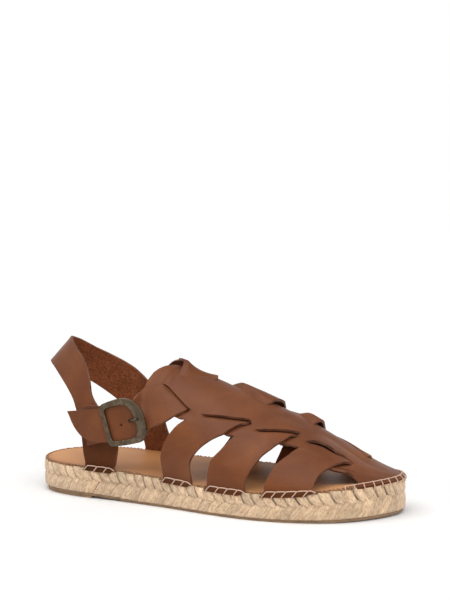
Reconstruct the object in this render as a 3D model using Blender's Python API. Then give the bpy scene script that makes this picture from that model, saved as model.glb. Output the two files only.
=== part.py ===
"""Espadrille sandal for the right foot: a flat jute sole with a woven leather upper, a heel
strap and a side buckle.

The sandal stands on the floor with its toe at +X, its inner side at +Y and +Z up. The sizes
below are in millimetres, measured from the back of the heel and from the floor. The origin
is in the middle of the sandal's length and width, on the floor.
"""
import math
from collections import namedtuple

import bmesh
import bpy
from mathutils import Vector

MM = 0.001

# Driving sizes
LEATHER = 1.8               # thickness of every strap
GAP = 0.3                   # room between pieces that lie on each other
INSOLE_THICK = 1.8
OUTSOLE_THICK = 2.0
HEEL_LIFT_THICK = 1.5
HEEL_LIFT_END = 48.0        # the heel lift runs from the back of the heel to here
SOLE_INSET = 1.6            # the rubber stands back from the widest line of the jute
LIP_DROP = 4.2              # each strap laps this far down the side of the jute
LIP_RISE = 1.0
TOE_LIP_RISE = 0.3          # the toe strap comes in so low that its lap has hardly any rise
LIP_PROUD = 0.15
TOE_RECESS = 0.35           # the insole draws back under the toe strap, for each mm forward
TOE_STRAP_START = 236.0
INSOLE_RAMP = 7.0           # before the toe strap the insole's edge draws in over this length
INSOLE_RAMP_INSET = 4.5
INSOLE_EDGE_INSET = 0.4
INSOLE_TOE_INSET = 3.0
FOOT_MARGIN = 1.2           # the ledge for a strap runs on past the strap's edges
FOOT_STEP = 0.4             # half the length over which the ledge's edge is formed
RUBBER_EDGE = 0.5           # the rubber's lower edge is broken by this much
FRAME_X = 130.3             # the middle of the sandal's box
FRAME_Y = -0.9

# The sole's outline, once round: from the back of the heel along the outer side to the toe,
# and back along the inner side.
OutlinePoint = namedtuple("OutlinePoint", "x y")
OUTLINE = [OutlinePoint(*row) for row in (
    (0.0, 0.0), (4.7, -17.3), (18.2, -30.1), (41.6, -36.7), (78.0, -37.7), (117.0, -41.2),
    (156.0, -47.0), (187.0, -48.5), (215.8, -43.0), (239.2, -31.2), (254.8, -11.3),
    (260.4, 8.6), (253.5, 26.5), (234.0, 38.9), (202.8, 45.6), (176.8, 46.7), (143.0, 40.6),
    (104.0, 33.8), (65.0, 33.3), (39.0, 33.3), (16.9, 27.7), (4.2, 15.9))]

# Heights along the sole: the top of the insole at its edge, and the underside of the rubber
TOP_HEIGHT = ((0.0, 21.4), (50.0, 21.4), (84.0, 20.6), (117.0, 19.4), (140.0, 18.4),
              (165.0, 17.7), (185.0, 17.6), (200.0, 18.1), (224.0, 19.7), (247.0, 22.0),
              (260.4, 23.2))
UNDER_HEIGHT = ((0.0, 1.8), (56.0, 1.8), (92.0, 0.0), (200.0, 0.0), (230.0, 0.3),
                (260.4, 1.3))

# The side of the jute from bottom to top: two bulging rows of braid with a groove between,
# below a ledge for the straps. A share of the height below the ledge, and the inset.
BraidStep = namedtuple("BraidStep", "share inset")
BRAID = [BraidStep(*row) for row in (
    (0.00, 1.6), (0.10, 0.5), (0.26, 0.0), (0.42, 0.5), (0.50, 1.5), (0.58, 0.5),
    (0.76, 0.0), (0.93, 0.3))]
BRAID_TOP_INSET = 0.7

# Where straps come down to the sole: the side, where along it, and the insole's inset there
StrapFoot = namedtuple("StrapFoot", "side rear front insole_inset")
STRAP_FEET = [StrapFoot(*row) for row in (
    ("outer", 53.0, 76.0, 2.1), ("outer", 117.0, 140.0, 2.1),
    ("outer", 153.0, 181.0, 2.1), ("outer", 194.0, 225.0, 2.8),
    ("inner", 54.0, 76.0, 2.1), ("inner", 111.0, 140.0, 2.1),
    ("inner", 152.0, 182.0, 2.1), ("inner", 196.0, 225.0, 2.8))]
TOE_FOOT = {"outer": 246.5, "inner": 244.0}    # the toe strap's ends on the sole's edge

# Sections of the last, from the ankle to the toe. Each section leaves the ridge line at
# along and meets the sole's edge at outer_x and inner_x, so the sections fan out at the toe.
# Fullness is how square the shoulders are, and slant how much the wall leans in at the sole.
Section = namedtuple("Section", "along ridge_y ridge_z outer_x inner_x fullness slant")
SECTIONS = [Section(*row) for row in (
    (60.0, 2.5, 93.0, 60.0, 60.0, 0.56, 0.00),
    (84.0, 2.5, 88.6, 84.0, 84.0, 0.56, 0.00),
    (105.0, 2.5, 83.9, 105.0, 105.0, 0.56, 0.00),
    (125.0, 3.0, 78.3, 125.0, 125.0, 0.56, 0.00),
    (150.0, 4.0, 70.7, 150.0, 150.0, 0.54, 0.00),
    (175.0, 4.8, 61.5, 175.0, 175.0, 0.50, 0.02),
    (190.0, 5.3, 55.9, 191.0, 191.0, 0.47, 0.04),
    (205.0, 5.8, 48.7, 209.0, 208.0, 0.43, 0.08),
    (220.0, 6.3, 40.3, 228.0, 226.0, 0.40, 0.12),
    (235.0, 6.9, 31.5, 245.0, 243.0, 0.38, 0.16),
    (247.0, 7.6, 27.2, 252.5, 250.5, 0.36, 0.18),
    (255.0, 8.2, 24.9, 256.0, 255.5, 0.34, 0.18),
    (260.2, 8.6, 23.5, 257.8, 258.4, 0.34, 0.18))]

# Straps on the last. Round is the place on a section: 0 on the ridge, 90 at the sole. Rear
# and front are where the strap's edges run, and the lifts how far they stand off the last,
# because each strap passes over the next one's tail.
StrapRow = namedtuple("StrapRow", "round rear front rear_lift front_lift")

OUTER_STRAPS = {
    "first": (
        (90, 117.0, 140.0, 0.0, 0.0), (78, 114.5, 138.0, 0.0, 0.0),
        (69, 116.5, 142.0, 0.0, 0.1), (58, 122.5, 150.5, 0.0, 0.2),
        (51, 128.0, 157.0, -0.5, 0.3), (50, 114.0, 158.0, -2.3, 0.3),
        (43, 119.0, 161.5, -2.2, 0.0), (37, 124.0, 165.0, -1.6, -0.8),
        (31, 130.0, 169.0, -0.9, -2.0), (25, 150.0, 171.0, -1.6, -2.3)),
    "second": (
        (90, 153.0, 180.5, 0.0, 0.0), (81, 153.5, 180.5, 0.0, 0.0),
        (71, 155.0, 183.0, 0.0, 0.1), (62, 160.0, 185.5, 0.0, 0.2),
        (56, 162.5, 187.0, 0.0, 0.3), (49, 165.5, 189.5, -0.5, 0.3),
        (48, 151.0, 190.0, -2.3, 0.3), (41, 155.0, 192.0, -2.2, 0.0),
        (35, 160.0, 194.0, -1.6, -0.6), (29, 165.0, 195.5, -0.9, -1.2),
        (23, 169.0, 197.0, -0.9, -2.0), (15, 180.0, 201.0, -1.6, -2.3)),
    "third": (
        (90, 193.0, 217.0, 0.0, 0.0), (81, 193.0, 216.5, 0.0, 0.0),
        (71, 194.5, 217.0, 0.0, 0.2), (61, 196.0, 218.0, 0.0, 0.4),
        (48, 200.0, 221.5, 0.0, 0.6), (42, 201.5, 223.0, 0.0, 0.8),
        (37.5, 203.0, 224.5, -0.5, 0.9), (36.5, 190.0, 225.0, -2.3, 0.9),
        (31, 193.0, 227.0, -2.0, 0.6), (26, 196.0, 229.0, -1.2, -0.6),
        (20, 199.0, 231.0, -0.9, -2.0), (14, 208.0, 232.0, -1.6, -2.3)),
}
INNER_STRAPS = {
    "first": (
        (90, 111.0, 139.5, 0.0, 0.0), (83, 116.0, 143.0, 0.0, 0.1),
        (76, 121.5, 148.0, 0.1, 0.3), (68, 126.0, 153.5, 0.2, 0.8),
        (60, 130.0, 158.0, 0.2, 1.4), (52, 133.0, 161.5, 0.3, 2.0),
        (45, 135.0, 164.0, 0.3, 2.5), (44, 120.0, 164.5, 0.3, 2.6),
        (36, 123.0, 167.0, 0.5, 3.2), (26, 128.0, 169.5, 0.8, 3.8),
        (16, 134.0, 171.5, 1.6, 4.2), (10, 142.0, 171.5, 3.2, 4.2),
        (5, 148.0, 171.0, 3.8, 4.0), (0, 157.0, 170.0, 3.0, 3.2),
        (-4, 164.0, 169.0, 0.9, 0.9)),
    "second": (
        (90, 152.0, 182.0, 0.0, 0.0), (83, 155.0, 184.0, 0.0, 0.1),
        (76, 158.0, 186.0, 0.1, 0.3), (68, 162.0, 188.5, 0.2, 0.8),
        (60, 166.0, 191.0, 0.2, 1.3), (52, 170.0, 193.5, 0.3, 1.9),
        (46, 172.5, 195.5, 0.3, 2.4), (45, 160.0, 196.0, 0.3, 2.4),
        (36, 166.0, 198.5, 0.4, 3.0), (28, 172.0, 200.5, 0.5, 3.5),
        (22, 179.0, 201.5, 0.9, 4.0), (16, 187.0, 202.0, 1.6, 4.3),
        (11, 193.0, 202.0, 2.4, 3.8), (7, 197.0, 201.0, 0.9, 1.2)),
    "third": (
        (90, 196.0, 218.0, 0.0, 0.0), (83, 197.0, 218.5, 0.0, 0.0),
        (74, 198.5, 219.5, 0.0, 0.2), (65, 200.5, 221.0, 0.0, 0.5),
        (57, 203.0, 222.5, 0.1, 0.8), (50, 205.5, 224.0, 0.2, 1.0),
        (49, 193.0, 224.5, 0.2, 1.0), (42, 196.0, 227.0, 0.3, 1.4),
        (35, 201.0, 230.0, 0.4, 1.8), (30, 208.0, 231.5, 0.6, 1.9),
        (26, 217.0, 231.0, 0.9, 1.6), (22.5, 222.0, 229.6, 0.3, 0.6)),
    "ankle": (
        (8.5, 105.0, 130.0, 4.4, 2.8), (13, 102.0, 131.0, 4.6, 2.8),
        (20, 97.0, 131.0, 4.0, 2.4), (28, 91.0, 130.0, 3.2, 2.0),
        (36, 84.0, 126.0, 2.4, 1.6), (44, 76.0, 119.5, 1.8, 1.2),
        (51, 69.0, 109.5, 1.2, 1.0), (57, 63.5, 98.0, 0.8, 0.8),
        (62, 60.5, 87.5, 0.6, 0.6), (66, 60.2, 77.0, 0.6, 0.6)),
}
ANKLE_SAG = 2.2     # the ankle strap dips to the spine between its raised rear and front

# The spine, a strip along the ridge from the instep tab to the toe, with its outer and inner
# edges as places round the last. Its outer edge steps at each slit.
SpineRow = namedtuple("SpineRow", "along outer inner outer_lift inner_lift")
SPINE = [SpineRow(*row) for row in (
    (91.8, -56, -29, -2.3, 0.0), (93.0, -55, -21, -2.3, 0.6), (95.5, -53, -11, -2.3, 0.7),
    (99.0, -49, -1, -2.3, 0.7), (103.0, -43, 9, -2.0, 0.6), (104.2, -29, 14, 0.4, 0.4),
    (108.0, -29.5, 20, 0.4, 0.2), (114.0, -33, 20, 0.4, 0.0), (121.0, -37, 20, 0.4, 0.0),
    (128.0, -40.5, 20, 0.2, 0.0), (133.0, -41, 20, 0.0, 0.0), (139.0, -41, 20, 0.1, 0.0),
    (149.0, -37.5, 18, 0.3, 0.0), (160.0, -33, 16, 0.5, 0.0), (169.0, -28.5, 15, 0.4, 0.0),
    (170.5, -29, 18, 0.1, 0.0), (174.5, -35, 20, 0.0, 0.0), (182.0, -31, 20, 0.3, 0.0),
    (190.0, -25, 20, 0.5, 0.0), (198.0, -19, 20, 0.4, 0.0), (199.5, -19.5, 22, 0.1, 0.0),
    (203.5, -26.5, 24, 0.0, 0.0), (206.5, -22.5, 25, 0.8, 0.0), (213.0, -19.5, 26, 1.5, 0.0),
    (220.0, -20.5, 27, 1.3, 0.0), (226.5, -19.5, 28, 0.3, 0.0), (233.0, -24, 28, -0.2, -0.3),
    (239.0, -24, 26, -0.9, -0.9))]

# The toe strap, from the sole's outer edge over the ridge to its inner edge
ToeRow = namedtuple("ToeRow", "round rear rear_lift")
TOE_ROWS = [ToeRow(*row) for row in (
    (-90, 237.5, 0.0), (-76, 237.0, 0.0), (-62, 235.5, 0.0), (-53, 233.0, -0.2),
    (-45, 229.5, -0.8), (-43.5, 219.0, -2.3), (-34, 219.0, -1.9), (-25, 221.0, -0.8),
    (-12, 224.0, -0.6), (0, 225.0, -0.6), (12, 224.0, -0.6), (25, 221.0, -0.6),
    (34, 219.0, -0.6), (43.5, 219.0, -0.6), (45, 229.5, -0.4), (53, 233.0, -0.2),
    (62, 235.5, 0.0), (76, 237.0, 0.0), (90, 237.5, 0.0))]
TOE_END = 260.2

# Free straps, as rows of their two edges
EdgePair = namedtuple("EdgePair", "lower_x lower_y lower_z upper_x upper_y upper_z")
HEEL_STRAP = [EdgePair(*row) for row in (
    (53.0, -37.4, 21.4, 76.0, -37.7, 20.8), (52.0, -37.5, 30.0, 78.5, -37.6, 29.5),
    (51.0, -37.2, 38.5, 79.0, -36.9, 37.0), (48.8, -36.0, 48.0, 73.0, -35.8, 48.5),
    (44.8, -34.2, 57.0, 62.0, -33.6, 60.5), (40.3, -31.5, 64.2, 55.2, -31.2, 68.0),
    (34.0, -28.3, 70.2, 52.0, -28.8, 77.0), (25.0, -24.0, 77.2, 46.0, -24.6, 87.2),
    (16.0, -18.8, 83.0, 36.0, -18.6, 95.0), (8.0, -12.0, 85.6, 26.5, -12.0, 101.0),
    (3.2, -5.0, 85.2, 20.4, -4.5, 102.8), (1.8, 2.0, 83.2, 17.6, 3.5, 101.5),
    (3.2, 9.5, 79.8, 18.6, 11.5, 98.4), (8.0, 18.0, 74.6, 24.0, 19.8, 92.8),
    (15.5, 24.8, 68.2, 32.0, 25.0, 87.8), (24.0, 28.2, 62.2, 41.5, 28.0, 82.8),
    (33.0, 30.0, 56.0, 51.0, 29.6, 77.0), (42.0, 31.4, 48.6, 60.0, 31.0, 68.5),
    (48.5, 32.4, 40.0, 66.5, 31.8, 56.0), (52.5, 33.0, 30.5, 71.5, 32.4, 40.5),
    (54.0, 33.4, 21.4, 76.0, 33.2, 20.8))]
FREE_END = [EdgePair(*row) for row in (
    (44.5, -42.7, 56.6, 43.6, -42.7, 57.8), (49.0, -42.7, 48.0, 49.0, -42.7, 58.4),
    (55.5, -42.7, 41.6, 55.5, -42.7, 59.2), (66.0, -42.8, 39.0, 63.0, -42.7, 60.2))]
# The stretch that lies flat in the buckle: how far its edges run from the middle
FLAT_STRETCH = (-9.5, 0.0, 8.5)
STRAP_LOWER = 10.4
STRAP_UPPER = 9.4
# Where the buckle strap has come onto the last, on its way under the spine
StrapTurn = namedtuple("StrapTurn", "lower_along lower_round lower_lift "
                                    "upper_along upper_round upper_lift")
BUCKLE_STRAP_ON_LAST = [StrapTurn(*row) for row in (
    (103.5, -64.0, 2.0, 93.5, -39.5, 3.2), (108.5, -60.5, 0.9, 96.8, -36.8, 1.9),
    (114.5, -56.0, 0.5, 100.5, -33.8, 1.3), (121.0, -49.0, 0.3, 104.0, -30.5, 0.6),
    (126.5, -42.5, -1.2, 106.5, -29.5, -1.0), (129.0, -37.5, -2.3, 108.5, -26.0, -2.3),
    (132.0, -33.0, -2.4, 111.0, -22.0, -2.4))]

# The buckle: a D-shaped frame over the strap, with its hidden bar under the strap. Places in
# it are given along the strap, up across it and out from its outer face.
BUCKLE_CENTRE = Vector((87.2, -40.0, 53.6))
BUCKLE_ALONG = Vector((0.945, 0.20, 0.25)).normalized()
BUCKLE_OUT = Vector((0.187, -0.973, 0.072)).normalized()
FRAME_HALF_LENGTH = 14.8
FRAME_HALF_REAR = 12.4      # half the height of the straight rear bar
FRAME_HALF_HEIGHT = 14.4
FRAME_MIDDLE = -1.0         # where the frame is tallest
FRAME_UNDERSIDE = 0.4
FRAME_THICK = 2.0
REAR_BAR_WIDTH = 3.0
FRONT_BAR_WIDTH = 5.0
SIDE_BAR_WIDTH = 3.2
HIDDEN_BAR_RADIUS = 1.2
HIDDEN_BAR_PLACE = -7.5
HIDDEN_BAR_DEPTH = -5.1
BAR_POST_PLACE = 12.4
BAR_POST_RADIUS = 1.0
BAR_OVERHANG = 0.9          # the hidden bar runs on past its posts
WINDOW_CORNER = 1.0
FRAME_CORNER = 2.0
LOOP_THICK = 1.5
LOOP_HALF_WIDTH = 10.4
LOOP_TAIL = [EdgePair(*row) for row in (
    (56.5, -39.4, 35.5, 53.5, -37.2, 61.8), (64.0, -39.4, 37.2, 61.0, -38.0, 62.3),
    (70.0, -39.6, 39.4, 67.5, -38.8, 62.0))]
PRONG_HOLE_PLACE = 3.8
SPARE_HOLE_PLACE = -2.8
PRONG_HOLE_RADIUS = 1.8
SPARE_HOLE_RADIUS = 1.2
PRONG_HALF_WIDTH = 1.4
PRONG_EYE_WALL = 1.5
# The prong seen from its side, from the bar under the strap, up through the strap's hole and
# on over the frame's front bar: how far past the hole, from which face, and how far off it
ProngPoint = namedtuple("ProngPoint", "past_hole face off")
PRONG = [ProngPoint(*row) for row in (
    (-11.3, "under", -1.5), (-1.4, "under", -1.8), (0.2, "under", -0.9), (1.6, "strap", 0.2),
    (5.0, "frame", 0.0), (7.4, "frame", 0.0), (7.6, "frame", 0.7), (6.6, "frame", 1.3),
    (3.6, "frame", 1.0), (0.2, "strap", 1.2), (-0.9, "under", -0.3), (-1.8, "under", 0.0),
    (-11.3, "under", 0.0))]

# Finishes: colour, roughness and metallic
FINISHES = {
    "leather": ((0.20, 0.070, 0.034), 0.48, 0.0),
    "insole_leather": ((0.52, 0.25, 0.11), 0.60, 0.0),
    "jute": ((0.56, 0.41, 0.26), 0.95, 0.0),
    "rubber": ((0.33, 0.22, 0.14), 0.85, 0.0),
    "aged_metal": ((0.21, 0.19, 0.16), 0.42, 1.0),
}


def clear_scene():
    for old in list(bpy.data.objects):
        bpy.data.objects.remove(old, do_unlink=True)


def finish(name):
    """The named material, made on its first use."""
    material = bpy.data.materials.get(name)
    if material is None:
        colour, roughness, metallic = FINISHES[name]
        material = bpy.data.materials.new(name)
        material.use_nodes = True
        shader = material.node_tree.nodes["Principled BSDF"]
        shader.inputs["Base Color"].default_value = (*colour, 1.0)
        shader.inputs["Roughness"].default_value = roughness
        shader.inputs["Metallic"].default_value = metallic
    return material


def smooth_curve(points, closed=False, steps=8):
    """A Catmull-Rom curve through points, with its tangents scaled to the spacing."""
    count = len(points)
    out = []
    for i in range(count if closed else count - 1):
        p0 = points[(i - 1) % count] if closed or i > 0 else points[0]
        p1 = points[i]
        p2 = points[(i + 1) % count]
        p3 = points[(i + 2) % count] if closed or i + 2 < count else points[-1]
        reach = (p2 - p1).length
        before = max((p1 - p0).length, 1e-6)
        after = max((p3 - p2).length, 1e-6)
        run = (p2 - p1) / reach
        m1 = ((p1 - p0) / before + run) / 2 if (p1 - p0).length else run
        m2 = (run + (p3 - p2) / after) / 2 if (p3 - p2).length else run
        for k in range(steps):
            t = k / steps
            out.append((2 * t**3 - 3 * t**2 + 1) * p1 + (t**3 - 2 * t**2 + t) * reach * m1
                       + (3 * t**2 - 2 * t**3) * p2 + (t**3 - t**2) * reach * m2)
    if not closed:
        out.append(points[-1].copy())
    return out


def table_value(table, x):
    """A smooth height read from rows of (x, height), level at the table's high and low rows."""
    if x <= table[0][0]:
        return table[0][1]
    for (x0, y0), (x1, y1) in zip(table, table[1:]):
        if x <= x1:
            t = (x - x0) / (x1 - x0)
            return y0 + (y1 - y0) * t
    return table[-1][1]


def rounded_table(table, x, reach=8.0):
    """The same table with its corners rounded over reach."""
    samples = [table_value(table, x + reach * k / 4) for k in range(-4, 5)]
    return sum(samples) / len(samples)


def top_height(x):
    return rounded_table(TOP_HEIGHT, x)


def under_height(x):
    return rounded_table(UNDER_HEIGHT, x, reach=4.0)


EDGE = smooth_curve([Vector((p.x, p.y)) for p in OUTLINE], closed=True, steps=24)
HEEL_INDEX = min(range(len(EDGE)), key=lambda i: EDGE[i].x)
EDGE = EDGE[HEEL_INDEX:] + EDGE[:HEEL_INDEX]
TOE_INDEX = max(range(len(EDGE)), key=lambda i: EDGE[i].x)
HEEL_X = EDGE[0].x
TOE_X = EDGE[TOE_INDEX].x


def edge_index(side, x):
    """The place along EDGE, with a fraction, where a side of the outline reaches x."""
    count = len(EDGE)
    path = range(TOE_INDEX) if side == "outer" else range(count - 1, TOE_INDEX - 1, -1)
    step = 1 if side == "outer" else -1
    for i in path:
        a = EDGE[i % count] if side == "outer" else EDGE[(i + 1) % count]
        b = EDGE[(i + 1) % count] if side == "outer" else EDGE[i]
        if a.x <= x <= b.x:
            share = (x - a.x) / max(b.x - a.x, 1e-9)
            return i + share if step == 1 else i + 1 - share
    return float(TOE_INDEX)


def edge_point(index, inset=0.0):
    """A point on the outline, moved in by inset."""
    count = len(EDGE)
    low = math.floor(index)
    share = index - low
    a, b = EDGE[low % count], EDGE[(low + 1) % count]
    behind, ahead = EDGE[(low - 2) % count], EDGE[(low + 3) % count]
    run = (ahead - behind).normalized()
    inward = Vector((-run.y, run.x))
    return a.lerp(b, share) + inward * inset


def side_y(side, x):
    x = min(max(x, HEEL_X), TOE_X - 0.01)
    return edge_point(edge_index(side, x)).y


# ------------------------------------------------------------------------------ the last

def section_at(along):
    """The section between the table's rows, with its points on the sole's edge."""
    rows = SECTIONS
    along = min(max(along, rows[0].along), rows[-1].along)
    i = max(k for k in range(len(rows) - 1) if rows[k].along <= along)
    t = (along - rows[i].along) / (rows[i + 1].along - rows[i].along)

    def slope(k, field):
        low, high = max(k - 1, 0), min(k + 1, len(rows) - 1)
        return ((getattr(rows[high], field) - getattr(rows[low], field))
                / (rows[high].along - rows[low].along))

    span = rows[i + 1].along - rows[i].along
    values = {}
    for field in Section._fields[1:]:
        a, b = getattr(rows[i], field), getattr(rows[i + 1], field)
        values[field] = ((2 * t**3 - 3 * t**2 + 1) * a + (3 * t**2 - 2 * t**3) * b
                         + (t**3 - 2 * t**2 + t) * span * slope(i, field)
                         + (t**3 - t**2) * span * slope(i + 1, field))
    return Section(along, **values)


def last_point(along, around):
    """A point on the last's surface. Around is 0 on the ridge, -90 and 90 at the sole."""
    section = section_at(along)
    side = "outer" if around < 0 else "inner"
    foot_x = section.outer_x if around < 0 else section.inner_x
    foot = Vector((foot_x, side_y(side, foot_x), top_height(foot_x)))
    w = min(abs(around) / 90.0, 1.0)
    b1, b2, b3 = 3 * w * (1 - w)**2, 3 * w * w * (1 - w), w**3
    reach = b1 * section.fullness + b2 * (1 - section.slant) + b3
    height = (1 - w)**3 + b1 + b2 * section.fullness
    ridge = Vector((along, section.ridge_y, section.ridge_z))
    return Vector((ridge.x + (foot.x - ridge.x) * reach,
                   ridge.y + (foot.y - ridge.y) * reach,
                   foot.z + (ridge.z - foot.z) * height))


def last_normal(along, around):
    step = 0.5
    run = last_point(min(along + step, TOE_END), around) - last_point(along - step, around)
    turn = last_point(along, around + 2 * step) - last_point(along, around - 2 * step)
    normal = run.cross(turn).normalized()
    return -normal if normal.dot(last_point(along, around) - Vector((along, 4.0, 15.0))) < 0 \
        else normal


def on_last(along, around, lift=0.0):
    return last_point(along, around) + last_normal(along, around) * lift


# ------------------------------------------------------------------------------ helpers

def to_metres(point):
    """From the sizes' frame to the sandal's own, whose origin is the middle of its box."""
    return Vector((point[0] - FRAME_X, point[1] - FRAME_Y, point[2])) * MM


def add_object(name, mesh, material):
    obj = bpy.data.objects.new(name, mesh)
    bpy.context.scene.collection.objects.link(obj)
    mesh.materials.append(finish(material))
    return obj


def mesh_from(bm, name, smooth=True):
    bmesh.ops.recalc_face_normals(bm, faces=bm.faces)
    mesh = bpy.data.meshes.new(name)
    bm.to_mesh(mesh)
    bm.free()
    if smooth:
        mesh.shade_smooth()
        mesh.set_sharp_from_angle(angle=math.radians(40))
    return mesh


def sheet_solid(name, rows, across, place, outward, thick=LEATHER):
    """A sheet of leather: a grid whose points come from place(row, share), thickened in."""
    bm = bmesh.new()
    bmesh.ops.create_grid(bm, x_segments=across, y_segments=rows, size=1.0)
    for vert in bm.verts:
        share = (vert.co.x + 1) / 2
        row = (vert.co.y + 1) / 2 * rows
        vert.co = to_metres(place(row, share))
    bm.normal_update()
    lean = sum((face.normal.dot(outward(face.calc_center_median() / MM)) for face in bm.faces))
    if lean < 0:
        bmesh.ops.reverse_faces(bm, faces=bm.faces)
    mesh = bpy.data.meshes.new(name)
    bm.to_mesh(mesh)
    bm.free()
    obj = add_object(name, mesh, "leather")
    wall = obj.modifiers.new("Wall", "SOLIDIFY")
    wall.thickness = thick * MM
    wall.offset = -1.0
    wall.use_even_offset = False
    return obj


def between(rows, row):
    """The table row at a whole or part number, as plain numbers."""
    low = min(int(row), len(rows) - 2)
    share = row - low
    return [a + (b - a) * share for a, b in zip(rows[low], rows[low + 1])]


def away_from_foot(point):
    """Out from the middle of the foot, seen from a point in the sandal's frame."""
    x, y, z = point
    return Vector((0.0, y + FRAME_Y - 2.0, z - 20.0))


def last_strap(name, table, side, across=4, sag=0.0):
    rows = [StrapRow(*row) for row in table]

    def place(row, share):
        around, rear, front, rear_lift, front_lift = between(rows, row)
        lift = rear_lift + (front_lift - rear_lift) * share - sag * 4 * share * (1 - share)
        return on_last(rear + (front - rear) * share, side * around, lift)

    return sheet_solid(name, len(rows) - 1, across, place, away_from_foot)


def spine():
    def place(row, share):
        along, outer, inner, outer_lift, inner_lift = between(SPINE, row)
        near_edge = max(0.0, 1.0 - share * 3)
        lift = inner_lift * share + outer_lift * near_edge
        return on_last(along, outer + (inner - outer) * share, lift)

    return sheet_solid("upper", len(SPINE) - 1, 6, place, away_from_foot)


def toe_strap():
    def place(row, share):
        around, rear, rear_lift = between(TOE_ROWS, row)
        lift = rear_lift * max(0.0, 1.0 - share * 2.5)
        return on_last(rear + (TOE_END - rear) * share, around, lift)

    return sheet_solid("toe strap", len(TOE_ROWS) - 1, 6, place, away_from_foot)


def ribbon(name, pairs, steps, across, outward, thick=LEATHER):
    """A free strap between two smooth edges."""
    lower = smooth_curve([p[0] for p in pairs], steps=steps)
    upper = smooth_curve([p[1] for p in pairs], steps=steps)

    def place(row, share):
        i = round(row)
        return lower[i].lerp(upper[i], share)

    return sheet_solid(name, len(lower) - 1, across, place, outward, thick)


def edge_pairs(table):
    return [(Vector(row[:3]), Vector(row[3:])) for row in table]


def lip(name, start, end, pieces, rise=LIP_RISE):
    """The end of a strap, lapped down the side of the jute along the sole's edge."""
    def place(row, share):
        index = start + (end - start) * row / pieces
        point = edge_point(index, -LIP_PROUD)
        top = top_height(point.x)
        return Vector((point.x, point.y, top - LIP_DROP + (LIP_DROP + rise) * share))

    def outward(point):
        return Vector((point.x + FRAME_X - 130.0, point.y + FRAME_Y, 0.0)) \
            if point.x + FRAME_X > 240 else Vector((0.0, point.y + FRAME_Y, 0.0))

    return sheet_solid(name, pieces, 1, place, outward)


def united(base, others):
    """Join the other solids into base, and keep them as hidden guides."""
    for other in others:
        other.hide_render = True
        other.display_type = "WIRE"
        join = base.modifiers.new("Join " + other.name, "BOOLEAN")
        join.operation = "UNION"
        join.solver = "EXACT"
        join.object = other
    return base


def cut(base, cutter):
    cutter.hide_render = True
    cutter.display_type = "WIRE"
    hole = base.modifiers.new("Cut " + cutter.name, "BOOLEAN")
    hole.operation = "DIFFERENCE"
    hole.solver = "EXACT"
    hole.object = cutter


# ------------------------------------------------------------------------------ the sole

def strap_foot_at(side, x):
    """The strap foot over this place on the sole's edge, or None."""
    for foot in STRAP_FEET:
        if foot.side == side and foot.rear - FOOT_MARGIN <= x <= foot.front + FOOT_MARGIN:
            return foot
    return None


def stations():
    """Places along the sole: close together at heel and toe, and at each strap's edges."""
    count = 34
    xs = {HEEL_X + (TOE_X - HEEL_X) * (1 - math.cos(math.pi * k / count)) / 2
          for k in range(count + 1)}
    edges = {foot.rear - FOOT_MARGIN for foot in STRAP_FEET}
    edges |= {foot.front + FOOT_MARGIN for foot in STRAP_FEET}
    edges |= {place - FOOT_MARGIN for place in TOE_FOOT.values()}
    kept = [x for x in xs if all(abs(x - edge) > 4 * FOOT_STEP for edge in edges)]
    return sorted(kept + [edge + step for edge in edges for step in (-FOOT_STEP, FOOT_STEP)])


def slab(name, material, rings, xs):
    """A solid of rings that follow the sole's outline. A ring gives inset and height."""
    bm = bmesh.new()
    last = len(xs) - 1
    loops = []
    for inset_at, height_at in rings:
        outer, inner = [], []
        for i, x in enumerate(xs):
            for side, row in (("outer", outer), ("inner", inner)):
                if i in (0, last) and side == "inner":
                    row.append(outer[-1])
                    continue
                index = 0.0 if i == 0 else float(TOE_INDEX) if i == last else edge_index(side, x)
                point = edge_point(index, inset_at(side, x))
                height = height_at(side, x)
                row.append(bm.verts.new(to_metres((point.x, point.y, height))))
        loops.append((outer, inner))

    def wall(low, high):
        for i in range(last):
            bm.faces.new((low[i], low[i + 1], high[i + 1], high[i]))

    for (low_outer, low_inner), (high_outer, high_inner) in zip(loops, loops[1:]):
        wall(low_outer, high_outer)
        wall(high_inner, low_inner)
    for outer, inner in (loops[0], loops[-1]):
        for i in range(last):
            corners = (outer[i], outer[i + 1], inner[i + 1], inner[i])
            bm.faces.new(list(dict.fromkeys(corners)))
    return add_object(name, mesh_from(bm, name), material)


def level(value):
    return lambda side, x: value


def toe_recess(side, x):
    return max(0.0, x - TOE_FOOT[side] + FOOT_MARGIN)


def insole_inset(side, x):
    foot = strap_foot_at(side, x)
    if toe_recess(side, x) > 0:
        return INSOLE_TOE_INSET + TOE_RECESS * (x - TOE_STRAP_START)
    before_toe = (TOE_FOOT[side] - FOOT_MARGIN - x) / INSOLE_RAMP
    ramp = max(0.0, 1.0 - before_toe) * INSOLE_RAMP_INSET
    return max(foot.insole_inset if foot else INSOLE_EDGE_INSET, ramp)


def ledge_inset(side, x):
    if toe_recess(side, x) > 0 or strap_foot_at(side, x):
        return LEATHER + GAP
    return BRAID_TOP_INSET


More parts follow.
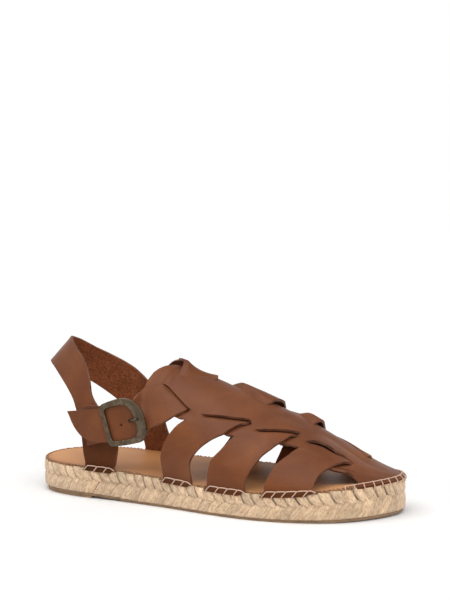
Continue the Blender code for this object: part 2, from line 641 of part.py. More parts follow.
def make_sole(xs):
    def jute_bottom(side, x):
        return under_height(x) + OUTSOLE_THICK + GAP

    def ledge(side, x):
        return top_height(x) - LIP_DROP - GAP

    def braid_ring(step):
        def height(side, x):
            low = jute_bottom(side, x)
            return low + (ledge(side, x) - low) * step.share
        return level(step.inset), height

    def jute_top(side, x):
        return top_height(x) - INSOLE_THICK - GAP

    rings = [braid_ring(step) for step in BRAID]
    rings.append((level(BRAID_TOP_INSET), ledge))
    rings.append((ledge_inset, lambda side, x: ledge(side, x) + 0.05))
    rings.append((lambda side, x: ledge_inset(side, x) + 0.02, jute_top))
    slab("jute_sole", "jute", rings, xs)

    slab("insole", "insole_leather", [
        (insole_inset, lambda side, x: top_height(x) - INSOLE_THICK),
        (insole_inset, lambda side, x: top_height(x))], xs)

    plain = xs[::2] + ([] if xs[-1] in xs[::2] else [xs[-1]])
    slab("outsole", "rubber", [
        (level(SOLE_INSET + RUBBER_EDGE), lambda side, x: under_height(x)),
        (level(SOLE_INSET), lambda side, x: under_height(x) + RUBBER_EDGE),
        (level(SOLE_INSET), lambda side, x: under_height(x) + OUTSOLE_THICK)], plain)

    lift_xs = [x for x in plain if x < HEEL_LIFT_END - 2] + [HEEL_LIFT_END]
    heel_lift(lift_xs)


def heel_lift(xs):
    """A half-round pad of rubber under the back of the heel, with a straight front."""
    bm = bmesh.new()
    inset = SOLE_INSET + RUBBER_EDGE
    outer = [edge_point(edge_index("outer", x) if x > xs[0] else 0.0, inset) for x in xs]
    inner = [edge_point(edge_index("inner", x), inset) for x in xs[1:]]
    ring = [bm.verts.new(to_metres((p.x, p.y, 0.0))) for p in outer + inner[::-1]]
    face = bm.faces.new(ring)
    grown = bmesh.ops.extrude_face_region(bm, geom=[face])
    lifted = [item for item in grown["geom"] if isinstance(item, bmesh.types.BMVert)]
    bmesh.ops.translate(bm, verts=lifted, vec=(0.0, 0.0, HEEL_LIFT_THICK * MM))
    add_object("heel_lift", mesh_from(bm, "heel_lift"), "rubber")


# ------------------------------------------------------------------------------ the upper

def make_upper():
    base = spine()
    parts = [toe_strap()]
    parts += [last_strap("outer " + name, table, -1) for name, table in OUTER_STRAPS.items()]
    parts += [last_strap("inner " + name, table, 1, sag=ANKLE_SAG if name == "ankle" else 0.0)
              for name, table in INNER_STRAPS.items()]

    def away_from_heel(point):
        return Vector((point.x + FRAME_X - 60.0, (point.y + FRAME_Y) * 2, 0.0))

    parts.append(ribbon("heel strap", edge_pairs(HEEL_STRAP), 2, 3, away_from_heel))
    flat = [(buckle_point(a, -STRAP_LOWER, 0.0), buckle_point(a, STRAP_UPPER, 0.0))
            for a in FLAT_STRETCH]
    turns = [(on_last(*row[:3]), on_last(*row[3:])) for row in BUCKLE_STRAP_ON_LAST]
    parts.append(ribbon("buckle strap", edge_pairs(FREE_END) + flat + turns, 2, 4,
                        away_from_foot))

    for foot in STRAP_FEET:
        start, end = edge_index(foot.side, foot.rear), edge_index(foot.side, foot.front)
        parts.append(lip("lip %s %d" % (foot.side, foot.rear), start, end, 5))
    start = edge_index("outer", TOE_FOOT["outer"])
    end = edge_index("inner", TOE_FOOT["inner"])
    parts.append(lip("lip toe", start, end, 13, TOE_LIP_RISE))

    united(base, parts)
    return base


# ------------------------------------------------------------------------------ the buckle

def buckle_point(along, up, out):
    across = BUCKLE_OUT.cross(BUCKLE_ALONG).normalized()
    return BUCKLE_CENTRE + BUCKLE_ALONG * along + across * up + BUCKLE_OUT * out


def d_outline(rear, front, half_rear, half_height, corner, steps):
    """The outline of a D: a straight rear bar with small corners, and a full round front."""
    points = []
    for k in range(steps + 1):
        a = -math.pi / 2 + math.pi * k / steps
        points.append((FRAME_MIDDLE + (front - FRAME_MIDDLE) * math.cos(a)**0.9,
                       half_height * math.sin(a)))
    for side in (1, -1):
        turns = [(rear + corner - corner * math.sin(a), half_rear - corner + corner * math.cos(a))
                 for a in (0.0, math.pi / 4, math.pi / 2)]
        shoulder = ((rear + FRAME_MIDDLE) / 2, (half_rear + half_height) / 2 + 0.4)
        run = [shoulder] + turns
        points += [(a, side * u) for a, u in (run if side == 1 else run[::-1])]
    return points


def prism(name, outline, low, high):
    """An outline in the buckle's plane, raised from low to high."""
    bm = bmesh.new()
    face = bm.faces.new([bm.verts.new(to_metres(buckle_point(a, u, low))) for a, u in outline])
    grown = bmesh.ops.extrude_face_region(bm, geom=[face])
    lifted = [item for item in grown["geom"] if isinstance(item, bmesh.types.BMVert)]
    bmesh.ops.translate(bm, verts=lifted, vec=BUCKLE_OUT * (high - low) * MM)
    return add_object(name, mesh_from(bm, name), "aged_metal")


def rod(name, start, end, radius, sides=12):
    """A round rod between two points."""
    bm = bmesh.new()
    axis = end - start
    bmesh.ops.create_cone(bm, cap_ends=True, segments=sides, radius1=radius * MM,
                          radius2=radius * MM, depth=axis.length * MM)
    turn = axis.to_track_quat("Z", "Y").to_matrix().to_4x4()
    bmesh.ops.transform(bm, matrix=turn, verts=bm.verts)
    bmesh.ops.translate(bm, vec=to_metres((start + end) / 2), verts=bm.verts)
    return add_object(name, mesh_from(bm, name), "aged_metal")


def side_profile(name, outline, half_width):
    """An outline given along and out, as wide as twice half_width across the strap."""
    bm = bmesh.new()
    face = bm.faces.new([bm.verts.new(to_metres(buckle_point(a, -half_width, o)))
                         for a, o in outline])
    grown = bmesh.ops.extrude_face_region(bm, geom=[face])
    lifted = [item for item in grown["geom"] if isinstance(item, bmesh.types.BMVert)]
    across = BUCKLE_OUT.cross(BUCKLE_ALONG).normalized()
    bmesh.ops.translate(bm, verts=lifted, vec=across * 2 * half_width * MM)
    return add_object(name, mesh_from(bm, name), "aged_metal")


def make_frame():
    frame = prism("buckle_frame", d_outline(-FRAME_HALF_LENGTH, FRAME_HALF_LENGTH,
                                            FRAME_HALF_REAR, FRAME_HALF_HEIGHT,
                                            FRAME_CORNER, 16),
                  FRAME_UNDERSIDE, FRAME_UNDERSIDE + FRAME_THICK)
    window = prism("buckle window", d_outline(-FRAME_HALF_LENGTH + REAR_BAR_WIDTH,
                                              FRAME_HALF_LENGTH - FRONT_BAR_WIDTH,
                                              FRAME_HALF_REAR - SIDE_BAR_WIDTH + 0.6,
                                              FRAME_HALF_HEIGHT - SIDE_BAR_WIDTH,
                                              WINDOW_CORNER, 14),
                   FRAME_UNDERSIDE - 1.0, FRAME_UNDERSIDE + FRAME_THICK + 1.0)
    cut(frame, window)

    def bar_point(up, out):
        return buckle_point(HIDDEN_BAR_PLACE, up, out)

    bar_end = BAR_POST_PLACE + BAR_OVERHANG
    bar = rod("hidden bar", bar_point(-bar_end, HIDDEN_BAR_DEPTH),
              bar_point(bar_end, HIDDEN_BAR_DEPTH), HIDDEN_BAR_RADIUS)
    posts = [rod("bar post %d" % side, bar_point(side * BAR_POST_PLACE, HIDDEN_BAR_DEPTH - 0.5),
                 bar_point(side * BAR_POST_PLACE, FRAME_UNDERSIDE + 0.9), BAR_POST_RADIUS)
             for side in (-1, 1)]
    united(frame, [bar] + posts)


def make_prong():
    """A ring round the hidden bar, and a stem up through the strap to the frame's front."""
    def ring(radius):
        return [(HIDDEN_BAR_PLACE + radius * math.cos(k * math.pi / 8),
                 HIDDEN_BAR_DEPTH + radius * math.sin(k * math.pi / 8)) for k in range(16)]

    faces = {"under": -LEATHER - GAP, "strap": 0.0,
             "frame": FRAME_UNDERSIDE + FRAME_THICK + GAP}
    outline = [(PRONG_HOLE_PLACE + p.past_hole, faces[p.face] + p.off) for p in PRONG]
    stem = side_profile("buckle_prong", outline, PRONG_HALF_WIDTH / 2)
    eye = side_profile("prong eye", ring(HIDDEN_BAR_RADIUS + GAP + PRONG_EYE_WALL),
                       PRONG_HALF_WIDTH)
    united(stem, [eye])
    cut(stem, side_profile("prong bore", ring(HIDDEN_BAR_RADIUS + GAP), PRONG_HALF_WIDTH + 1))


def make_loop():
    """The leather loop from the heel strap's post round the hidden bar, slotted for the prong."""
    radius = HIDDEN_BAR_RADIUS + GAP + LOOP_THICK

    def edges(along, out):
        return tuple(buckle_point(along, side * LOOP_HALF_WIDTH, out) for side in (-1, 1))

    wrap = [edges(HIDDEN_BAR_PLACE + radius * math.sin(a), HIDDEN_BAR_DEPTH + radius * math.cos(a))
            for a in (math.pi * k / 6 for k in range(7))]
    pairs = edge_pairs(LOOP_TAIL) + wrap + [edges(HIDDEN_BAR_PLACE - 3.0,
                                                 HIDDEN_BAR_DEPTH - radius)]
    bar = buckle_point(HIDDEN_BAR_PLACE, 0.0, HIDDEN_BAR_DEPTH)

    def away_from_bar(point):
        return Vector((point.x + FRAME_X, point.y + FRAME_Y, point.z)) - bar

    loop = ribbon("buckle_loop", pairs, 1, 4, away_from_bar, LOOP_THICK)
    reach = HIDDEN_BAR_RADIUS + GAP + LOOP_THICK + 1.5
    slot = side_profile("prong slot", [
        (HIDDEN_BAR_PLACE - reach, HIDDEN_BAR_DEPTH - reach),
        (HIDDEN_BAR_PLACE + reach, HIDDEN_BAR_DEPTH - reach),
        (HIDDEN_BAR_PLACE + reach, HIDDEN_BAR_DEPTH + reach),
        (HIDDEN_BAR_PLACE - reach, HIDDEN_BAR_DEPTH + reach)], PRONG_HALF_WIDTH + GAP + 0.2)
    cut(loop, slot)


def make_strap_holes(upper):
    for name, place, radius in (("prong hole", PRONG_HOLE_PLACE, PRONG_HOLE_RADIUS),
                                ("spare hole", SPARE_HOLE_PLACE, SPARE_HOLE_RADIUS)):
        cut(upper, rod(name, buckle_point(place, 0.0, -4.0), buckle_point(place, 0.0, 4.0),
                       radius, sides=10))


def main():
    clear_scene()
    make_sole(stations())
    upper = make_upper()
    make_strap_holes(upper)
    make_frame()
    make_prong()
    make_loop()


main()
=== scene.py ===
"""The looks of the espadrille sandal: leather straps, braided jute, stitching and a metal buckle.

The sandal's toe is at +X, its inner side at +Y and +Z is up. The sizes below are in
millimetres, measured from the back of the heel and from the floor, and to_metres() takes them
to the frame's own origin, in the middle of the sandal's box.
"""
import math
import random
from bisect import bisect_right
from collections import namedtuple

import bmesh
import bpy
from mathutils import Matrix, Vector, noise


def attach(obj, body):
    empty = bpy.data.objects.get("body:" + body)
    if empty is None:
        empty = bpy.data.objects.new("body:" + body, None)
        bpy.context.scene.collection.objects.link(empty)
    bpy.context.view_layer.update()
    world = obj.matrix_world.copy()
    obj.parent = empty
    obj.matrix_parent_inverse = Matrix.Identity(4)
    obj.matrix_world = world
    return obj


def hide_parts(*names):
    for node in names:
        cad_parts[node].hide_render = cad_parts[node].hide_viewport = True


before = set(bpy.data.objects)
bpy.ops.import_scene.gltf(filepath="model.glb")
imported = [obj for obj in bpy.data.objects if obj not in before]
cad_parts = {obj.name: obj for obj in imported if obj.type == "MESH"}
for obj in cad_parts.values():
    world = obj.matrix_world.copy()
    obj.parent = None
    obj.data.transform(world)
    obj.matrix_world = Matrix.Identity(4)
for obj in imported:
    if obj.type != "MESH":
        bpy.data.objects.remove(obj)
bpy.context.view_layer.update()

MM = 0.001
FRAME_X = 130.3             # the middle of the sandal's box, from the back of the heel
FRAME_Y = -0.9              # and from the line that the tables' y is measured from

# Leather
LEATHER = 1.8               # thickness of every strap
RIM = 0.35                  # how far a strap's cut edges are rubbed round
LAP = 2.9                   # each strap laps this far down the side of the jute
LAP_SLANT = 2.6             # its end is pulled this far back towards the heel
LAP_NARROWING = 1.0         # and is this much narrower
LAP_PROUD = 0.15            # and it stands this far out from the jute
TOE_LAP = 1.8               # the toe strap laps only this far
TUCK = 2.4                  # how deep a strap lies where another passes over it
TUCK_RAMP = 4.5             # and the length over which it comes up again beside that strap
FLUSH = 0.10                # straps cut from the same hide lie this close where they run on
ROUND_STEP = 0.85           # about what 1 round the last comes to, in mm
CORNER = 1.6                # rows of a strap's table that start closer than this make a corner
ROW_STEP = 1.35             # and a strap's mesh has a row for about each of these
TAIL_SHARE = 0.3            # the share of a strap's columns that its tail takes
TAIL_WIDTH = 4.0            # width of the tail's columns in the rows before the notch
BODY_WIDTH = 1.5            # a strap's body is never narrower than this
TOE_LAP_STEP = 1.25         # length of a face of the toe strap's lap
WORN_EDGE = 2.0             # the worn look of a strap's edge reaches this far in
FOOT_CENTRE_Y = 2.0         # a line inside the foot that the straps face away from
FOOT_CENTRE_Z = 20.0

# The sole
INSOLE_THICK = 1.8
OUTSOLE_THICK = 2.0
HEEL_LIFT_THICK = 1.5
HEEL_LIFT_END = 56.0        # the heel lift runs from the back of the heel to here
SOLE_INSET = 1.6            # the rubber stands back from the widest line of the jute
HEEL_LIFT_INSET = 2.1       # and the heel lift this far
CORE_INSET = 2.6            # the jute behind the strands of the braid
CORE_THICK = 10.0           # from under the insole down
BASE_THICK = 9.2            # and from BASE_HEIGHT above the underside down
BASE_HEIGHT = 11.5
INSOLE_INSET = 1.5          # between the straps
INSOLE_TOE_INSET = 3.0      # under the toe strap, and TOE_RECESS more for each mm forward
INSOLE_TOE_START = 236.0
TOE_RECESS = 0.35
INSOLE_RAMP = 7.0           # before the toe strap the insole's edge draws in over this length
INSOLE_RAMP_INSET = 4.5
INSOLE_MARGIN = 1.2         # and beside each strap it draws in from here
BARE_LAP = 2.2              # where no strap laps over, the strands start as if one came this far
STRAND_RISE = 1.2           # they start at most this far above a lap's lower end
LIP = 3.4                   # height of the jute above its two rows of braid
GROOVE_SHARE = 0.60         # the lower row's share of the height below that
INSOLE_RIM = 9.0            # the insole is deeper in colour this near to its edge

# A strand: how much its start varies, its slant along the sole and how much that varies, its
# half width and how much less or more it may be, its half thickness, and the power it bends by
StrandKind = namedtuple("StrandKind", "jitter slant slant_play half_width narrower wider thick "
                                      "sweep")
STRANDS = {
    "upper": StrandKind(0.35, 4.6, 0.8, 3.9, 0.1, 0.3, 2.0, 1.45),
    "lower": StrandKind(0.4, 6.4, 0.6, 4.4, 0.2, 0.3, 1.35, 1.0),
}
STRAND_PITCH = 7.2
STRAND_LENGTH = 9.0         # for the fibres' pattern
LOWER_SHIFT = 0.35          # the lower row's strands start this share of a pitch later

# Stitches: how far apart, how far down the jute, how slanting, and how far in the thread runs
THREAD = 0.36               # radius of the pale thread over the straps' feet
Stitch = namedtuple("Stitch", "spacing depth lean inward")
FOOT_STITCH = Stitch(6.8, LAP, 3.2, 0.0)
TOE_STITCH = Stitch(6.2, TOE_LAP + 1.2, 0.5, 2.4)
TOE_STITCH_START = 6.0      # the toe strap's stitches start this far behind its edge
WHIP_THREAD = 0.3           # radius of the brown thread round the insole
WHIP_SPACING = 2.9
WHIP_STEPS = (1.3, 2.6)     # from a stitch's hole to its middle and its end
WHIP_INSETS = (2.5, 1.5, 1.0)

# The view: the heading and distance at which the camera stands from its target, the heading
# that it looks back along, its roll, and its lens
VIEW_TARGET = Vector((130.0, 0.0, 30.0))
VIEW_AZIMUTH = 32.0
VIEW_ELEVATION = 10.28
VIEW_DISTANCE = 1107.47
LOOK_AZIMUTH = 31.52
LOOK_ELEVATION = 5.14
VIEW_ROLL = -1.2
FOCAL_LENGTH = 101.5902
SENSOR_HEIGHT = 36.0

# ------------------------------------------------------------------------- the shoe's tables

OutlinePoint = namedtuple("OutlinePoint", "x y")
OUTLINE = [OutlinePoint(*row) for row in (
    (0.0, 0.0), (4.7, -17.3), (18.2, -30.1), (41.6, -36.7), (78.0, -37.7), (117.0, -41.2),
    (156.0, -47.0), (187.0, -48.5), (215.8, -43.0), (239.2, -31.2), (254.8, -11.3),
    (260.4, 8.6), (253.5, 26.5), (234.0, 38.9), (202.8, 45.6), (176.8, 46.7), (143.0, 40.6),
    (104.0, 33.8), (65.0, 33.3), (39.0, 33.3), (16.9, 27.7), (4.2, 15.9))]

# Heights along the sole: the top of the insole at its edge, and the underside of the rubber
TOP_HEIGHT = ((0.0, 21.4), (50.0, 21.4), (84.0, 20.6), (117.0, 19.4), (140.0, 18.4),
              (165.0, 17.7), (185.0, 17.6), (200.0, 18.1), (224.0, 19.7), (247.0, 22.0),
              (260.4, 23.2))
UNDER_HEIGHT = ((0.0, 1.8), (56.0, 1.8), (92.0, 0.0), (200.0, 0.0), (230.0, 0.3),
                (260.4, 1.3))

StrapFoot = namedtuple("StrapFoot", "side rear front insole_inset")
STRAP_FEET = [StrapFoot(*row) for row in (
    ("outer", 53.0, 76.0, 2.1), ("outer", 117.0, 140.0, 2.1),
    ("outer", 153.0, 181.0, 2.1), ("outer", 194.0, 225.0, 2.8),
    ("inner", 54.0, 76.0, 2.1), ("inner", 111.0, 140.0, 2.1),
    ("inner", 152.0, 182.0, 2.1), ("inner", 196.0, 225.0, 2.8))]
TOE_FOOT = {"outer": 246.5, "inner": 244.0}

# Sections of the last, from the ankle to the toe, as rows of the ridge and the sole's edge
Section = namedtuple("Section", "along ridge_y ridge_z outer_x inner_x fullness slant")
SECTIONS = [Section(*row) for row in (
    (60.0, 2.5, 93.0, 60.0, 60.0, 0.56, 0.00),
    (84.0, 2.5, 88.6, 84.0, 84.0, 0.56, 0.00),
    (105.0, 2.5, 83.9, 105.0, 105.0, 0.56, 0.00),
    (125.0, 3.0, 78.3, 125.0, 125.0, 0.56, 0.00),
    (150.0, 4.0, 70.7, 150.0, 150.0, 0.54, 0.00),
    (175.0, 4.8, 61.5, 175.0, 175.0, 0.50, 0.02),
    (190.0, 5.3, 55.9, 191.0, 191.0, 0.47, 0.04),
    (205.0, 5.8, 48.7, 209.0, 208.0, 0.43, 0.08),
    (220.0, 6.3, 40.3, 228.0, 226.0, 0.40, 0.12),
    (235.0, 6.9, 31.5, 245.0, 243.0, 0.38, 0.16),
    (247.0, 7.6, 27.2, 252.5, 250.5, 0.36, 0.18),
    (255.0, 8.2, 24.9, 256.0, 255.5, 0.34, 0.18),
    (260.2, 8.6, 23.5, 257.8, 258.4, 0.34, 0.18))]

# Straps on the last, from the sole up. A row says where round the last it is (0 on the ridge,
# 90 at the sole, 100 at the lap's lower end), where along it the strap's rear and front edges
# are, and how far the front edge is lifted off the last. with_lap() adds the row at 100.
OUTER_LEGS = {
    "first": (
        (90, 117.0, 140.0, 0.0), (78, 114.5, 138.0, 0.0),
        (69, 116.5, 142.0, 0.1), (58, 122.5, 150.5, 0.2), (51, 128.0, 157.0, 0.3),
        (50, 114.0, 158.0, 0.3), (43, 119.0, 161.5, 0.2), (37, 124.0, 165.0, 0.0),
        (31, 130.0, 169.0, 0.0), (25, 150.0, 171.0, 0.0)),
    "second": (
        (90, 153.0, 180.5, 0.0), (81, 153.5, 180.5, 0.0),
        (71, 155.0, 183.0, 0.1), (62, 160.0, 185.5, 0.2), (56, 162.5, 187.0, 0.3),
        (49, 165.5, 189.5, 0.3), (48, 151.0, 190.0, 0.3), (41, 155.0, 192.0, 0.2),
        (35, 160.0, 194.0, 0.0), (29, 165.0, 195.5, 0.0), (23, 169.0, 197.0, 0.0),
        (15, 180.0, 201.0, 0.0)),
    "third": (
        (90, 193.0, 217.0, 0.0), (81, 193.0, 216.5, 0.0),
        (71, 194.5, 217.0, 0.2), (61, 196.0, 218.0, 0.4), (48, 200.0, 221.5, 0.6),
        (42, 201.5, 223.0, 0.8), (37.5, 203.0, 224.5, 0.9), (36.5, 190.0, 225.0, 0.9),
        (31, 193.0, 227.0, 0.7), (26, 196.0, 229.0, 0.4), (20, 199.0, 231.0, 0.0),
        (14, 208.0, 232.0, 0.0)),
}
# The edge of the strap that passes over each tail, as places along the last and round it
OVER_EDGES = {
    "first": ((100.0, 67.0), (108.5, 60.5), (114.5, 56.0), (121.0, 49.0), (126.5, 42.5)),
    "second": ((144.0, 66.0), (150.5, 58.0), (157.5, 50.5), (161.5, 43.0), (165.0, 37.0),
               (169.0, 31.0)),
    "third": ((183.0, 71.0), (187.0, 56.0), (190.0, 48.0), (192.0, 41.0), (194.0, 35.0),
              (195.5, 29.0), (197.0, 23.0)),
    "toe": ((217.0, 75.0), (218.0, 61.0), (221.5, 48.0), (225.0, 36.5), (227.0, 31.0),
            (229.0, 26.0), (231.0, 20.0)),
}
# Where along the spine's outer edge each leg starts to dive under it
SLIT_STARTS = {"first": 139.0, "second": 176.0, "third": 204.5}

# The inner straps, as the legs above, with the lifts of the rear and the front edge. The ankle
# strap runs from the ridge to the heel strap, and has no lap.
INNER_STRAPS = {
    "first": (
        (90, 111.0, 139.5, 0.0, 0.0), (83, 116.0, 143.0, 0.0, 0.1),
        (76, 121.5, 148.0, 0.1, 0.3), (68, 126.0, 153.5, 0.2, 0.8),
        (60, 130.0, 158.0, 0.2, 1.4), (52, 133.0, 161.5, 0.3, 2.0),
        (45, 135.0, 164.0, 0.3, 2.5), (44, 120.0, 164.5, 0.3, 2.6),
        (36, 123.0, 167.0, 0.5, 3.2), (26, 128.0, 169.5, 0.5, 3.8),
        (21, 132.0, 171.0, 0.1, 4.1), (16, 134.0, 171.5, -0.8, 4.3),
        (10, 142.0, 171.5, -0.9, 4.3), (5, 148.0, 171.0, -0.9, 3.8),
        (0, 157.0, 170.0, -0.9, 1.8), (-4, 164.0, 169.0, -0.9, -0.9)),
    "second": (
        (90, 152.0, 182.0, 0.0, 0.0), (83, 155.0, 184.0, 0.0, 0.1),
        (76, 158.0, 185.5, 0.1, 0.3), (68, 162.0, 187.0, 0.2, 0.8),
        (60, 166.0, 189.0, 0.2, 1.3), (52, 170.0, 191.0, 0.3, 1.9),
        (46, 172.5, 192.5, 0.3, 2.4), (45, 160.0, 193.0, 0.3, 2.4),
        (36, 166.0, 195.0, 0.4, 3.0), (28, 172.0, 197.0, 0.5, 3.6),
        (22, 179.0, 198.5, 0.1, 4.1), (16, 185.0, 199.0, -0.8, 4.4),
        (11, 190.0, 198.8, -0.9, 3.0), (7, 193.0, 198.0, -0.9, -0.9)),
    "third": (
        (90, 196.0, 218.0, 0.0, 0.0), (83, 197.0, 218.5, 0.0, 0.0),
        (74, 198.5, 219.5, 0.0, 0.2), (65, 200.5, 221.0, 0.0, 0.5),
        (57, 203.0, 222.5, 0.1, 0.7), (50, 205.5, 224.0, 0.2, 0.8),
        (49, 193.0, 224.5, 0.2, 0.8), (42, 196.0, 227.0, 0.2, 0.9),
        (35, 201.0, 230.0, 0.0, 0.7), (30, 208.0, 231.5, -0.4, 0.9),
        (26, 218.0, 231.0, -0.9, 1.0), (22.5, 225.0, 229.8, -0.9, -0.8)),
    "ankle": (
        (-16, 112.5, 119.0, -0.8, -0.8), (-12, 112.6, 121.0, 0.3, -0.5),
        (-8, 112.2, 124.0, 1.9, -0.4), (-4, 111.2, 127.5, 3.9, -0.1),
        (0, 109.6, 130.6, 5.3, 1.3), (3, 107.2, 130.2, 5.8, 2.6),
        (7, 103.4, 128.4, 5.4, 3.0), (12, 96.6, 126.2, 4.6, 2.9), (19, 89.6, 123.4, 3.7, 2.8),
        (27, 83.8, 121.6, 3.2, 2.3), (36, 78.2, 119.5, 2.5, 1.8), (44, 72.8, 115.5, 1.9, 1.4),
        (51, 67.5, 108.5, 1.2, 1.0), (57, 63.5, 98.0, 0.8, 0.8), (62, 60.5, 87.5, 0.6, 0.6),
        (66, 60.2, 77.0, 0.6, 0.6)),
}
ANKLE_SAG = 2.2             # how far the ankle strap hangs in between its edges

# The spine, from the instep tab to the toe, with its edges as places round the last
SpineRow = namedtuple("SpineRow", "along outer inner outer_lift inner_lift")
SPINE = [SpineRow(*row) for row in (
    (91.8, -56, -29, -2.3, 0.0), (93.0, -55, -21, -2.3, 0.6), (95.5, -53, -11, -2.3, 0.7),
    (99.0, -49, -1, -2.3, 0.7), (103.0, -43, 9, -2.0, 0.6), (104.2, -29, 14, 0.4, 0.4),
    (108.0, -29.5, 20, 0.4, 0.2), (114.0, -33, 20, 0.4, 0.5), (121.0, -37, 20, 0.4, 0.9),
    (128.0, -40.5, 20, 0.2, 1.0), (133.0, -41, 20, 0.0, 0.7), (139.0, -41, 20, 0.0, 0.2),
    (149.0, -37.5, 18, 0.3, 0.0), (160.0, -33, 16, 0.5, 0.0), (169.0, -28.5, 15, 0.4, 0.0),
    (170.5, -29, 18, 0.0, 0.0), (174.5, -35, 20, 0.0, 0.0), (182.0, -31, 20, 0.3, 0.0),
    (190.0, -25, 20, 0.5, 0.0), (198.0, -19, 20, 0.4, 0.0), (199.5, -19.5, 22, 0.0, 0.0),
    (203.5, -26.5, 24, 0.0, 0.0), (206.5, -22.5, 25, 0.8, 0.0), (213.0, -19.5, 26, 1.7, 0.0),
    (220.0, -20.5, 27, 1.4, 0.1), (225.0, -19.5, 28, 0.5, 0.1), (229.0, -21, 28, 0.0, 0.0),
    (233.0, -23, 28, -0.5, -0.5), (236.0, -24, 26, -0.9, -0.9))]

# The toe strap, from the ridge to the sole. Both sides are alike.
ToeRow = namedtuple("ToeRow", "round rear")
TOE_ROWS = [ToeRow(*row) for row in (
    (0, 225.0), (12, 224.0), (25, 221.0), (34, 219.0), (43.5, 219.0), (45, 229.5),
    (53, 233.0), (62, 235.5), (76, 237.0), (90, 237.5))]
TOE_END = 260.2
TOE_TUCK_END = 231.0        # the toe strap runs under the third straps up to here
# And under the spine up to here, as far round as this on each side
SPINE_OVER_TOE = {"along": 226.0, "outer": 24.0, "inner": 31.0}

# Shallow marks of wear on the last: the middle, the reach along and across, the depth, the turn
Crease = namedtuple("Crease", "along round length width depth turn")
CREASES = [Crease(*row) for row in (
    (131.5, -45.0, 3.2, 2.2, 0.7, 50.0), (127.0, -62.0, 9.0, 4.0, 0.35, 15.0),
    (168.0, -66.0, 8.0, 4.0, 0.40, 30.0), (205.0, -58.0, 7.0, 4.0, 0.35, 20.0),
    (150.0, -18.0, 14.0, 5.0, 0.30, -15.0), (186.0, -8.0, 10.0, 5.0, 0.35, 10.0),
    (216.0, 4.0, 8.0, 4.0, 0.20, 60.0), (244.0, -34.0, 9.0, 5.5, 0.20, 40.0),
    (108.6, -19.0, 13.0, 1.3, 0.5, -72.4))]

# The heel strap and the buckle strap's free end, as points on their lower and upper edges
EdgePair = namedtuple("EdgePair", "lower_x lower_y lower_z upper_x upper_y upper_z")
HEEL_STRAP = [EdgePair(*row) for row in (
    (53.0, -37.4, 21.4, 76.0, -37.7, 20.8), (52.0, -37.5, 30.0, 78.5, -37.6, 29.5),
    (51.0, -37.2, 38.5, 79.0, -36.9, 37.0), (48.8, -36.0, 48.0, 73.0, -35.8, 48.5),
    (44.8, -34.2, 57.0, 62.0, -33.6, 60.5), (40.3, -31.5, 64.2, 55.2, -31.2, 68.0),
    (34.0, -28.3, 70.2, 52.0, -28.8, 77.0), (25.0, -24.0, 77.2, 46.0, -24.6, 87.2),
    (16.0, -18.8, 83.0, 36.0, -18.6, 95.0), (8.0, -12.0, 85.6, 26.5, -12.0, 101.0),
    (3.2, -5.0, 85.2, 20.4, -4.5, 102.8), (1.8, 2.0, 83.2, 17.6, 3.5, 101.5),
    (3.2, 9.5, 79.8, 18.6, 11.5, 98.4), (8.0, 18.0, 74.6, 24.0, 19.8, 92.8),
    (15.5, 24.8, 68.2, 32.0, 25.0, 87.8), (24.0, 28.2, 62.2, 41.5, 28.0, 82.8),
    (33.0, 30.0, 56.0, 51.0, 29.6, 77.0), (42.0, 31.4, 48.6, 60.0, 31.0, 68.5),
    (48.5, 32.4, 40.0, 66.5, 31.8, 56.0), (52.5, 33.0, 30.5, 71.5, 32.4, 40.5),
    (54.0, 33.4, 21.4, 76.0, 33.2, 20.8))]
FREE_END = [EdgePair(*row) for row in (
    (44.5, -42.7, 56.6, 43.6, -42.7, 57.8), (49.0, -42.7, 48.0, 49.0, -42.7, 58.4),
    (55.5, -42.7, 41.6, 55.5, -42.7, 59.2), (66.0, -42.8, 39.0, 63.0, -42.7, 60.2))]
# The buckle strap's flat stretch, in the buckle's own plane, and from there on over the last
FlatRow = namedtuple("FlatRow", "along lower upper")
FLAT_STRETCH = [FlatRow(*row) for row in (
    (-9.5, -11.2, 11.0), (0.0, -11.9, 11.3), (8.5, -10.6, 11.4))]
StrapTurn = namedtuple("StrapTurn", "lower_along lower_round lower_lift "
                                    "upper_along upper_round upper_lift")
BUCKLE_STRAP_ON_LAST = [StrapTurn(*row) for row in (
    (103.5, -64.0, 2.0, 93.5, -39.5, 3.2), (108.5, -60.5, 0.9, 96.8, -36.8, 1.9),
    (114.5, -56.0, 0.5, 100.5, -33.8, 1.3), (121.0, -49.0, 0.3, 104.0, -30.5, 0.6),
    (126.5, -42.5, -1.2, 106.5, -29.5, -1.0), (129.0, -37.5, -2.3, 108.5, -26.0, -2.3),
    (132.0, -33.0, -2.4, 111.0, -22.0, -2.4))]

# The buckle's own plane: its middle, and the ways along the strap, out of it and across it
BUCKLE_CENTRE = Vector((87.2, -40.0, 53.6))
BUCKLE_ALONG = Vector((0.945, 0.20, 0.25)).normalized()
BUCKLE_OUT = Vector((0.187, -0.973, 0.072)).normalized()
BUCKLE_ACROSS = BUCKLE_OUT.cross(BUCKLE_ALONG).normalized()
